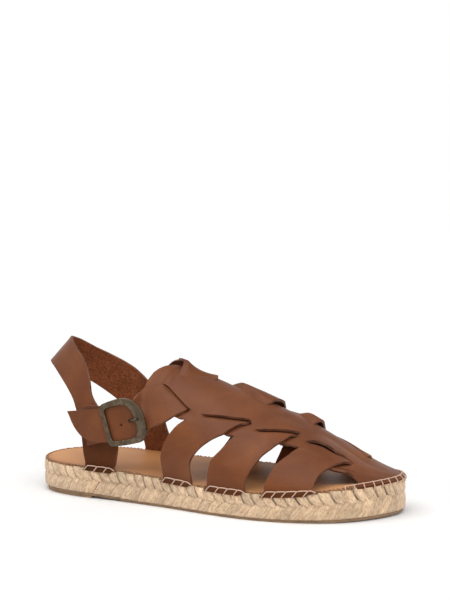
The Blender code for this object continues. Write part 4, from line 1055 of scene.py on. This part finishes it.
def with_tail(stops):
    """Parts each row of a strap into its tail, behind the notch, and its body. The rows before
    the notch have no tail. Gives the place of each share of a row, and what to leave out."""
    notch = max(range(1, len(stops)), key=lambda i: abs(stops[i][1][0] - stops[i - 1][1][0]))
    corner_rear, corner_front = stops[notch - 1][1][:2]
    rows = []
    for i, (around, values) in enumerate(stops):
        rear, front = values[:2]
        if i < notch:
            rows.append((around, values, rear - TAIL_WIDTH, rear))
        else:
            body = min(max(rear, corner_rear + 0.8 * (front - corner_front)),
                       front - BODY_WIDTH)
            rows.append((around, values, min(rear, body), body))

    def spot(row, share):
        around, values, tail, body = nearest(rows, row)
        if share < TAIL_SHARE:
            along = tail + (body - tail) * share / TAIL_SHARE
        else:
            along = body + (values[1] - body) * (share - TAIL_SHARE) / (1 - TAIL_SHARE)
        return along, around, values

    def notched(row, share):
        return row < notch / (len(rows) - 1) and share < TAIL_SHARE

    return spot, notched


def with_lap(table):
    """A strap's rows, with one more for the lower end of its lap over the side of the sole."""
    _, rear, front, *lifts = table[0]
    lap = (100.0, rear - LAP_SLANT, front - LAP_SLANT - LAP_NARROWING, *lifts)
    return (lap, *table)


def away_from_foot(point):
    return Vector((0.0, point.y + FRAME_Y - FOOT_CENTRE_Y, point.z - FOOT_CENTRE_Z))


SPINE_EDGE = [(row.along, -row.outer) for row in SPINE if row.along > 104.0]


def leg_lift(name, along, around, front_lift, share):
    """How far a leg's face stands off the last: down under the strap that crosses its tail,
    down under the spine at its slit, and level with the spine between the slits."""
    over = signed_distance(OVER_EDGES[name], along, around)
    spine = signed_distance(SPINE_EDGE, along, around)
    below_spine = spine if around > 20 else -1.0
    near_spine = 1.0 - ease(below_spine / 6.0)
    tail = (TUCK + 1.0 * near_spine) * (1.0 - ease(over / TUCK_RAMP))
    opened = ease((along - SLIT_STARTS[name] + 0.5) / 3.0)
    deep = ease((-below_spine - 0.5) / 1.6)
    slit = (TUCK - (TUCK - LEATHER - 0.05) * deep) * opened * (1.0 - ease(below_spine / 3.5))
    flush = FLUSH * (1.0 - ease(below_spine / 0.8))
    return front_lift * share - max(tail, slit, flush)


def make_outer_leg(name, table):
    stops = smooth_rows(with_lap(table))
    spot, notched = with_tail(stops)

    def place(row, share):
        along, around, (rear, front, front_lift) = spot(row, share)
        reach = max(0.0, (along - rear) / (front - rear))
        lift = leg_lift(name, along, around, front_lift, reach)
        return on_last(along, -around, lift + creased(along, -around))

    hide_sheet("outer_leg_" + name, len(stops) - 1, 40, place, away_from_foot, waves=0.12,
               cut_away=notched)


def make_inner_strap(name, table):
    """An inner strap. Its middle stands up as a fold where its rear edge is tucked in, and the
    ankle strap, which hangs free, sags between its edges. Its flesh side takes painted shade,
    deeper higher up."""
    ankle = name == "ankle"
    stops = smooth_rows(table if ankle else with_lap(table))
    spot, notched = with_tail(stops)
    sag = ANKLE_SAG if ankle else 0.0
    shade_from = 48.0 if ankle else 20.0

    def place(row, share):
        along, around, (rear, front, rear_lift, front_lift) = spot(row, share)
        reach = min(max((along - rear) / (front - rear), 0.0), 1.0)
        rise = ease((along - rear) / min(9.0, front - rear)) if rear_lift < 0 else reach
        lift = rear_lift + (front_lift - rear_lift) * rise
        if rear_lift > 0:
            lift -= min(sag, 0.35 * rear_lift) * 4 * reach * (1 - reach)
        return on_last(along, around, lift)

    # painted shade on the flesh side, deeper higher up, where the inside of the strap is in shade
    def painted_inside_shade(point):
        return ease((point.z - shade_from) / 16.0)

    hide_sheet("inner_strap_" + name, len(stops) - 1, 40, place, away_from_foot, waves=0.15,
               cut_away=None if ankle else notched, painted_inside_shade=painted_inside_shade)


def make_spine():
    stops = smooth_rows(SPINE)

    def place(row, share):
        along, (outer, inner, outer_lift, inner_lift) = nearest(stops, row)
        around = outer + (inner - outer) * share
        near_edge = max(0.0, 1.0 - share * 3)
        lift = inner_lift * share + outer_lift * near_edge
        return on_last(along, around, lift + creased(along, around))

    hide_sheet("spine", len(stops) - 1, 44, place, away_from_foot, waves=0.12)


def make_toe_strap():
    """The toe strap, tucked in under the spine in its middle and under the third straps."""
    stops = smooth_rows([(-around, rear) for around, rear in TOE_ROWS[:0:-1]] + TOE_ROWS)

    def place(row, share):
        around, (rear,) = nearest(stops, row)
        along = rear + (TOE_END - rear) * share
        over = signed_distance(OVER_EDGES["toe"], along, abs(around))
        spine_reach = SPINE_OVER_TOE["outer" if around < 0 else "inner"]
        below = ease((spine_reach - abs(around)) / 4.0)
        under_spine = TUCK * (1.0 - ease((along - SPINE_OVER_TOE["along"]) / 4.0)) * below
        tail = TUCK * (1.0 - ease(over / TUCK_RAMP)) * (1.0 - below) * (along < TOE_TUCK_END)
        return on_last(along, around, -max(tail, under_spine, FLUSH) + creased(along, around))

    hide_sheet("toe_strap", len(stops) - 1, 30, place, away_from_foot, waves=0.12)


def edge_pairs(table):
    return [(Vector(row[:3]), Vector(row[3:])) for row in table]


def make_heel_strap():
    pairs = edge_pairs(HEEL_STRAP)
    lap = Vector((-LAP_SLANT, 0.0, -LAP))
    out = Vector((0.0, LAP_PROUD, 0.0))
    pairs.insert(0, tuple(p + lap - out for p in pairs[0]))
    pairs.append(tuple(p + lap + out for p in pairs[-1]))

    def away_from_heel(point):
        return Vector((point.x + FRAME_X - 60.0, (point.y + FRAME_Y) * 2, 0.0))

    # painted shadow: the outer post darker towards the sole, in the shade of the buckle strap
    # above it
    def shadow_on_post(point):
        return 0.9 * ease((50.0 - point.z) / 14.0) if point.y < 0 else 0.0

    hide_strip("heel_strap", pairs, 6, 16, away_from_heel, waves=0.3, shaded=shadow_on_post)


def make_buckle_strap():
    flat = [(buckle_point(row.along, row.lower, 0.0), buckle_point(row.along, row.upper, 0.0))
            for row in FLAT_STRETCH]
    turns = [(on_last(*row[:3]), on_last(*row[3:])) for row in BUCKLE_STRAP_ON_LAST]
    holes = [(buckle_point(hole.along, hole.across, 0.0), hole.radius) for hole in STRAP_HOLES]
    hide_strip("buckle_strap", edge_pairs(FREE_END) + flat + turns, 6, 18, away_from_foot,
               holes=holes)


def make_toe_lap():
    """The toe strap's edge, turned down over the side of the jute."""
    start = edge_index("outer", TOE_FOOT["outer"])
    end = edge_index("inner", TOE_FOOT["inner"])
    count = round(abs(girth_at(end) - girth_at(start)) / TOE_LAP_STEP)

    def place(row, share):
        index = start + (end - start) * row
        point = edge_point(index, -LAP_PROUD * share - 0.25 * (1 - share) + 0.25)
        return at_height(point, top_height(point.x) + 0.1 - TOE_LAP * share)

    def outward(point):
        return Vector((point.x + FRAME_X - 130.0, point.y + FRAME_Y, 0.0))

    hide_sheet("toe_lap", count, 4, place, outward)


# ------------------------------------------------------------------------------- the sole

def strap_foot_at(side, x, margin=0.6):
    for foot in STRAP_FEET:
        if foot.side == side and foot.rear - margin <= x <= foot.front + margin:
            return foot
    return None


def side_of(index):
    return "outer" if index % len(EDGE) <= TOE_INDEX else "inner"


def lap_depth(index):
    """How far a strap comes down the side of the jute here, or 0 where there is none."""
    x, side = edge_point(index).x, side_of(index)
    if x > TOE_FOOT[side]:
        return TOE_LAP
    return LAP if strap_foot_at(side, x) else 0.0


def braid_levels(x):
    """The bottom of the jute, the groove between its rows, and its top."""
    low = under_height(x) + OUTSOLE_THICK + 0.2
    top = top_height(x)
    return low, low + (top - LIP - low) * GROOVE_SHARE, top


def strand_course(row, start, slant, half_width, tone):
    """A strand of the braid, from a place round the sole. The upper row's strands lean down
    towards the toe and end round. The lower row's lean up, and their ends go in under them."""
    upper = row == "upper"
    kind = STRANDS[row]
    clear = (lap_depth(girth_index(start)) or BARE_LAP) - STRAND_RISE + 0.6 * tone

    def place(t):
        index = girth_index(start + slant * t**kind.sweep)
        low, middle, top = braid_levels(edge_point(index).x)
        inset = kind.thick - 0.1
        if upper:
            height = top - clear + (middle - 1.0 - (top - clear)) * t
            inset += 0.5 * max(0.0, 1 - 2 * t)**2.5 + 1.0 * max(0.0, (t - 0.75) / 0.25)**2
            slim = math.sqrt(1.0 - (max(0.0, t - 0.62) / 0.44)**2)
        else:
            height = low - 0.2 + (middle + 1.3 - low) * t
            inset += 0.3 * max(0.0, 1 - 2 * t)**2.5 + 1.5 * max(0.0, 2 * t - 1)**2
            slim = 1.0
        out = outward_at(index)
        across = out.cross(Vector((0.0, 0.0, -1.0 if upper else 1.0)))
        return (at_height(edge_point(index, inset), height), across, out, half_width * slim,
                kind.thick * (0.4 + 0.6 * slim))

    return Course(place, STRAND_LENGTH, tone)


def make_braid():
    pick = random.Random(7)
    form = tube_form(12, 10)
    count = round(GIRTH / STRAND_PITCH)
    pitch = GIRTH / count
    laid = {row: [] for row in STRANDS}
    for k in range(count):
        for row, start in (("upper", k * pitch), ("lower", (k + LOWER_SHIFT) * pitch)):
            kind = STRANDS[row]
            laid[row].append(strand_course(
                row, start + pick.uniform(-kind.jitter, kind.jitter),
                kind.slant + pick.uniform(-kind.slant_play, kind.slant_play),
                kind.half_width + pick.uniform(-kind.narrower, kind.wider), pick.random()))
    lay_tubes("braid_upper_row", form, laid["upper"], "jute", "jute_sole")
    lay_tubes("braid_lower_row", form, laid["lower"], "flat jute", "jute_sole")


def sole_sheet(name, xs, columns, inset_at, height_at, thick, finishes, stands_for,
               rubbed):
    """A flat layer of the sole, from a grid laid between the outline's two sides."""
    def place(row, share):
        x = nearest(xs, row)
        ends = []
        for side in ("outer", "inner"):
            if x <= HEEL_X + 1e-6:
                index = 0.0
            elif x >= TOE_X - 1e-6:
                index = float(TOE_INDEX)
            else:
                index = edge_index(side, x)
            ends.append(edge_point(index, inset_at(side, x)))
        point = ends[0].lerp(ends[1], share)
        return at_height(point, height_at(point.x))

    bm = new_grid(columns, len(xs) - 1)
    edge = bm.verts.layers.float.new("edge")
    for vert in bm.verts:
        row, share = grid_share(vert)
        spot = place(row, share)
        rim = min((spot - place(row, end)).length for end in (0.0, 1.0))
        vert[edge] = max(0.0, 1.0 - rim / INSOLE_RIM)
        vert.co = to_metres(spot)
    bmesh.ops.remove_doubles(bm, verts=bm.verts, dist=0.05 * MM)
    bm.normal_update()
    if sum(face.normal.z * face.calc_area() for face in bm.faces) < 0:
        bmesh.ops.reverse_faces(bm, faces=bm.faces)
    piece = add_piece(name, mesh_from(bm, name), finishes, stands_for)
    thicken(piece, thick, 0, len(finishes) - 1, rubbed)


def insole_inset(side, x):
    foot = strap_foot_at(side, x, INSOLE_MARGIN)
    before_toe = TOE_FOOT[side] - INSOLE_MARGIN - x
    if before_toe < 0:
        return INSOLE_TOE_INSET + TOE_RECESS * (x - INSOLE_TOE_START)
    ramp = max(0.0, 1.0 - before_toe / INSOLE_RAMP) * INSOLE_RAMP_INSET
    return max(foot.insole_inset if foot else INSOLE_INSET, ramp)


def make_sole():
    xs = [HEEL_X + (TOE_X - HEEL_X) * (1 - math.cos(math.pi * k / 110)) / 2
          for k in range(111)]
    lift_xs = [HEEL_X + (HEEL_LIFT_END - HEEL_X) * (1 - math.cos(math.pi / 2 * k / 24))
               for k in range(25)]
    sole_sheet("footbed", xs, 22, insole_inset, top_height, INSOLE_THICK,
               ("insole", "insole edge"), "insole", 0.45)
    sole_sheet("jute_core", xs, 10, lambda side, x: CORE_INSET,
               lambda x: top_height(x) - INSOLE_THICK - 0.2, CORE_THICK, ("jute core in shade",),
               "jute_sole", 0.3)
    sole_sheet("jute_base", xs, 10, lambda side, x: CORE_INSET,
               lambda x: under_height(x) + BASE_HEIGHT, BASE_THICK, ("jute core in shade",),
               "jute_sole", 0.3)
    sole_sheet("rubber_outsole", xs, 16, lambda side, x: SOLE_INSET,
               lambda x: under_height(x) + OUTSOLE_THICK, OUTSOLE_THICK, ("rubber",),
               "outsole", 0.4)
    sole_sheet("rubber_heel_lift", lift_xs, 16, lambda side, x: HEEL_LIFT_INSET,
               lambda x: HEEL_LIFT_THICK, HEEL_LIFT_THICK, ("rubber",), "heel_lift",
               0.3)


# ------------------------------------------------------------------------------- stitching

def leather_edge_spot(index, inward, off):
    """A place on the leather at a strap's foot, in from the sole's edge, or down past it where
    inward is below 0. It stands off the leather by off."""
    point = edge_point(index)
    out = outward_at(index)
    top = top_height(point.x)
    if inward <= 0:
        return at_height(point, top + inward) + out * (LAP_PROUD + off)
    slope = 0.35
    return (at_height(point, top) - out * inward
            + Vector((0, 0, slope * inward)) + (out * 0.35 + Vector((0, 0, 0.9))) * off)


def blanket_stitches(start, end, stitch):
    """A thread that runs along a strap's foot, with a slanting bar down into the jute at each
    stitch. At the strap's front end it slopes down into the braid."""
    lean, depth = stitch.lean, stitch.depth
    first, last = girth_at(start), girth_at(end)
    forward = 1.0 if last > first else -1.0
    length = abs(last - first)
    count = max(2, round(length / stitch.spacing))
    gap = length / count
    pick = random.Random(round(first))
    rise = 0.0 if stitch.inward else 0.7

    def spot(along, down, off):
        index = girth_index(first + forward * along)
        if down > 0.01:
            return leather_edge_spot(index, -down, off)
        if stitch.inward:
            return leather_edge_spot(index, stitch.inward + down, off)
        return leather_edge_spot(index, 0.0, off) + Vector((0, 0, -down))

    courses, tops = [], []
    for k in range(count):
        low = gap * (k + 0.1) - lean * 0.4 + pick.uniform(-0.4, 0.4)
        top = low + lean
        tops.append(top)
        bar = ((top, -rise, THREAD * 0.7), (top - lean * 0.12, -rise * 0.4, THREAD * 1.2),
               (low + lean * 0.45, depth * 0.4, THREAD * 1.1),
               (low + lean * 0.12, depth * 0.8, THREAD), (low, depth + 0.5, -0.1),
               (low - lean * 0.1, depth + 1.2, -1.2))
        courses.append(path_course([spot(*place) for place in bar], THREAD, pick.random()))
    tops.append(length + lean * 0.3)
    for k, (a, b) in enumerate(zip(tops, tops[1:])):
        fall = 1.5 if k == len(tops) - 2 else 0.0
        points = [spot(a + (b - a) * t, -rise - 0.25 * math.sin(math.pi * t) + fall * t**2,
                       THREAD * 0.9) for t in (0.0, 0.3, 0.65, 1.0)]
        courses.append(path_course(points, THREAD, pick.random()))
    return courses


def make_blanket_stitches():
    courses = []
    for foot in STRAP_FEET:
        courses += blanket_stitches(edge_index(foot.side, foot.rear),
                                    edge_index(foot.side, foot.front), FOOT_STITCH)
    ends = [edge_index(side, TOE_FOOT[side] - TOE_STITCH_START) for side in ("outer", "inner")]
    courses += blanket_stitches(*ends, TOE_STITCH)
    lay_tubes("blanket_stitches", tube_form(7, 9), courses, "thread", None)


def make_whip_stitches():
    """Short brown stitches that hold the insole's edge down to the jute."""
    pick = random.Random(3)
    count = round(GIRTH / WHIP_SPACING)
    courses = []
    for k in range(count):
        at = GIRTH * k / count + pick.uniform(-0.5, 0.5)
        index = girth_index(at)
        if lap_depth(index):
            continue
        top = top_height(edge_point(index).x)
        middle, end = (girth_index(at + step + pick.uniform(-0.4, 0.4)) for step in WHIP_STEPS)
        hole = edge_point(index, WHIP_INSETS[0])
        over = edge_point(middle, WHIP_INSETS[1] + pick.uniform(-0.2, 0.1))
        low = edge_point(end, WHIP_INSETS[2])
        points = [at_height(point, top - down) for point, down in (
            (hole, 0.5), (hole, 0.0), (over, 0.0), (low, 0.7), (low, 1.8))]
        courses.append(path_course(points, WHIP_THREAD + pick.uniform(-0.05, 0.15),
                                   pick.random(), steps=4))
    lay_tubes("insole_stitches", tube_form(6, 6), courses, "whip thread", None)


# ------------------------------------------------------------------------------- the buckle

def d_ring(table, count):
    """Evenly spaced points on a D, from the middle of its front."""
    curve = smooth_curve([Vector((*point, 0.0)) for point in table], closed=True, steps=6)
    lengths = lengths_along(curve, closed=True)
    even = []
    for k in range(count):
        i, share = step_at(lengths, lengths[-1] * k / count)
        even.append(curve[i].lerp(curve[(i + 1) % len(curve)], share))
    return even


def metal_piece(name, bm):
    """A piece of the buckle's frame, taken from the buckle's own plane to its place."""
    for vert in bm.verts:
        vert.co = to_metres(buckle_point(*vert.co))
    bmesh.ops.recalc_face_normals(bm, faces=bm.faces)
    add_piece(name, mesh_from(bm, name), ("metal",), "buckle_frame")


def make_frame():
    count = 72
    bm = bmesh.new()
    rings = []
    for ring in (d_ring(FRAME_OUTER, count), d_ring(FRAME_WINDOW, count)):
        grown = bmesh.ops.create_circle(bm, segments=count, radius=1.0)
        for vert, point in zip(grown["verts"], ring):
            vert.co = point + Vector((0.0, 0.0, FRAME_UNDERSIDE))
        rings += list({e for v in grown["verts"] for e in v.link_edges})
    faces = bmesh.ops.bridge_loops(bm, edges=rings)["faces"]
    grown = bmesh.ops.extrude_face_region(bm, geom=faces)
    lifted = [item for item in grown["geom"] if isinstance(item, bmesh.types.BMVert)]
    bmesh.ops.translate(bm, verts=lifted, vec=(0.0, 0.0, FRAME_THICK))
    bmesh.ops.recalc_face_normals(bm, faces=bm.faces)
    corners = [e for e in bm.edges if len(e.link_faces) == 2 and e.calc_face_angle(0.0) > 1.0]
    bmesh.ops.bevel(bm, geom=corners, offset=FRAME_ROUNDING, segments=4, profile=0.5,
                    affect="EDGES", material=-1)
    metal_piece("buckle_d_frame", bm)


def make_bar():
    """The hidden bar, and the two short posts that join it to the frame's underside."""
    def on_bar(across, depth):
        return Vector((HIDDEN_BAR_PLACE, across, depth))

    bm = bmesh.new()
    reach = BAR_POST_PLACE + 0.9
    add_rod(bm, on_bar(-reach, HIDDEN_BAR_DEPTH), on_bar(reach, HIDDEN_BAR_DEPTH),
            HIDDEN_BAR_RADIUS)
    for across in (-BAR_POST_PLACE, BAR_POST_PLACE):
        add_rod(bm, on_bar(across, HIDDEN_BAR_DEPTH - 0.5), on_bar(across, FRAME_UNDERSIDE + 0.9),
                BAR_POST_RADIUS)
    metal_piece("buckle_bar", bm)


def add_rod(bm, start, end, radius):
    """Add a rod with rounded rims. It is made in a mesh of its own, because Blender orders what
    is added to a mesh after a bevel differently from run to run."""
    axis = end - start
    rod = bmesh.new()
    bmesh.ops.create_cone(rod, cap_ends=True, segments=20, radius1=radius, radius2=radius,
                          depth=axis.length)
    rims = [e for e in rod.edges if abs(e.verts[0].co.z - e.verts[1].co.z) < 1e-6]
    turn = axis.to_track_quat("Z", "Y").to_matrix().to_4x4()
    place = Matrix.Translation((start + end) / 2) @ turn
    bmesh.ops.transform(rod, matrix=place, verts=rod.verts)
    bmesh.ops.bevel(rod, geom=rims, offset=radius * 0.3, segments=2, profile=0.5, affect="EDGES",
                    material=-1)
    form = mesh_from(rod, "rod")
    bm.from_mesh(form)
    bpy.data.meshes.remove(form)


def make_prong():
    """A bent wire with an eye round the hidden bar, a hump through the strap and a flat tip."""
    form = tube_form(12, 28)
    wire = [buckle_point(along, PRONG_ACROSS, out) for along, out in PRONG]
    eye = [buckle_point(HIDDEN_BAR_PLACE + PRONG_EYE_RADIUS * math.cos(a), 0.0,
                        HIDDEN_BAR_DEPTH + PRONG_EYE_RADIUS * math.sin(a))
           for a in (math.tau * k / 12 for k in range(13))]
    for name, course in (
            ("buckle_tongue", path_course(wire, PRONG_RADIUS, 0.4, taper=0.12)),
            ("buckle_tongue_eye", path_course(eye, PRONG_EYE_WIRE, 0.6))):
        lay_tubes(name, form, [course], "metal", "buckle_prong")


def make_lining():
    pairs = [(buckle_point(along, LINING_LOWER, LINING_OUT),
              buckle_point(along, LINING_UPPER, LINING_OUT)) for along in LINING]
    hide_strip("strap_lining", pairs, 6, 18, away_from_foot, thick=LINING_THICK,
               finishes=("suede", "suede", "cut edge"))


def make_loop():
    """The leather that goes round the hidden bar and on under the strap."""
    radius = HIDDEN_BAR_RADIUS + 0.3 + LOOP_THICK
    bar = buckle_point(HIDDEN_BAR_PLACE, 0.0, HIDDEN_BAR_DEPTH)

    def edges(along, out):
        return tuple(buckle_point(HIDDEN_BAR_PLACE + along, side * LOOP_HALF_WIDTH,
                                  HIDDEN_BAR_DEPTH + out) for side in (-1, 1))

    def away_from_bar(point):
        return Vector((point.x + FRAME_X, point.y + FRAME_Y, point.z)) - bar

    wrap = [edges(radius * math.sin(a), radius * math.cos(a))
            for a in (math.pi * k / 6 for k in range(7))]
    hide_strip("buckle_keeper", edge_pairs(LOOP_TAIL) + wrap + [edges(-LOOP_END, -radius)], 4, 18,
               away_from_bar, thick=LOOP_THICK, stands_for="buckle_loop")


# ------------------------------------------------------------------------------- the studio

def make_floor():
    mesh = mesh_from(new_grid(1, 1, size=3.0), "studio_floor")
    floor = new_object("studio_floor", mesh)
    nodes = new_finish("studio paper")
    paper = nodes.steps(nodes.noise(3.0), (0.0, (0.815, 0.815, 0.815)), (1.0, (0.83, 0.83, 0.83)))
    mesh.materials.append(nodes.surface(paper, 0.95, (), Specular_IOR_Level=0.1))


def make_world():
    """White cloth all round the horizon, and a dimmer ceiling."""
    nodes = Nodes(bpy.data.worlds.new("studio"))
    height = nodes.add("SeparateXYZ", Vector=nodes.coords["Generated"]).outputs["Z"]
    background = nodes.tree.nodes["Background"].inputs
    nodes.feed(background["Color"], (1.0, 1.0, 1.0))
    nodes.feed(background["Strength"], nodes.spread(height, 0.15, 0.55, 1.0, 0.30))
    bpy.context.scene.world = nodes.owner


def make_lamps():
    lamps = (("soft_top", (-0.30, -0.25, 1.0), 60.0, 1.75),
             ("soft_side", (0.75, -0.40, 1.0), 50.0, 1.5))
    for name, place, spread, power in lamps:
        lamp = bpy.data.lights.new(name, "SUN")
        lamp.angle = math.radians(spread)
        lamp.energy = power
        holder = new_object(name, lamp)
        holder.location = place
        holder.rotation_euler = (-Vector(place)).to_track_quat("-Z", "Y").to_euler()


def heading(azimuth, elevation):
    """A direction, in degrees. Azimuth 0 is straight out from the shoe's outer side."""
    a, e = math.radians(azimuth), math.radians(elevation)
    return Vector((math.sin(a) * math.cos(e), -math.cos(a) * math.cos(e), math.sin(e)))


def make_camera():
    """Looks at the outer side, a little in front of and above the shoe."""
    eye = to_metres(VIEW_TARGET + heading(VIEW_AZIMUTH, VIEW_ELEVATION) * VIEW_DISTANCE)
    look = -heading(LOOK_AZIMUTH, LOOK_ELEVATION)
    roll = math.radians(VIEW_ROLL)
    right = look.cross(Vector((0, 0, 1))).normalized()
    up = right.cross(look)
    right_turned = right * math.cos(roll) + up * math.sin(roll)
    up_turned = up * math.cos(roll) - right * math.sin(roll)
    lens = bpy.data.cameras.new("view")
    lens.sensor_fit = "VERTICAL"
    lens.sensor_height = SENSOR_HEIGHT
    lens.lens = FOCAL_LENGTH
    lens.clip_start = 0.05
    camera = new_object("view", lens)
    turn = Matrix((right_turned, up_turned, -look)).transposed()
    camera.matrix_world = Matrix.Translation(eye) @ turn.to_4x4()
    bpy.context.scene.camera = camera


def main():
    bpy.context.scene.view_settings.view_transform = "Standard"
    make_floor()
    make_world()
    make_lamps()
    make_camera()
    make_spine()
    make_toe_strap()
    for name, table in OUTER_LEGS.items():
        make_outer_leg(name, table)
    for name, table in INNER_STRAPS.items():
        make_inner_strap(name, table)
    make_heel_strap()
    make_buckle_strap()
    make_toe_lap()
    make_sole()
    make_braid()
    make_blanket_stitches()
    make_whip_stitches()
    make_frame()
    make_bar()
    make_prong()
    make_lining()
    make_loop()


main()
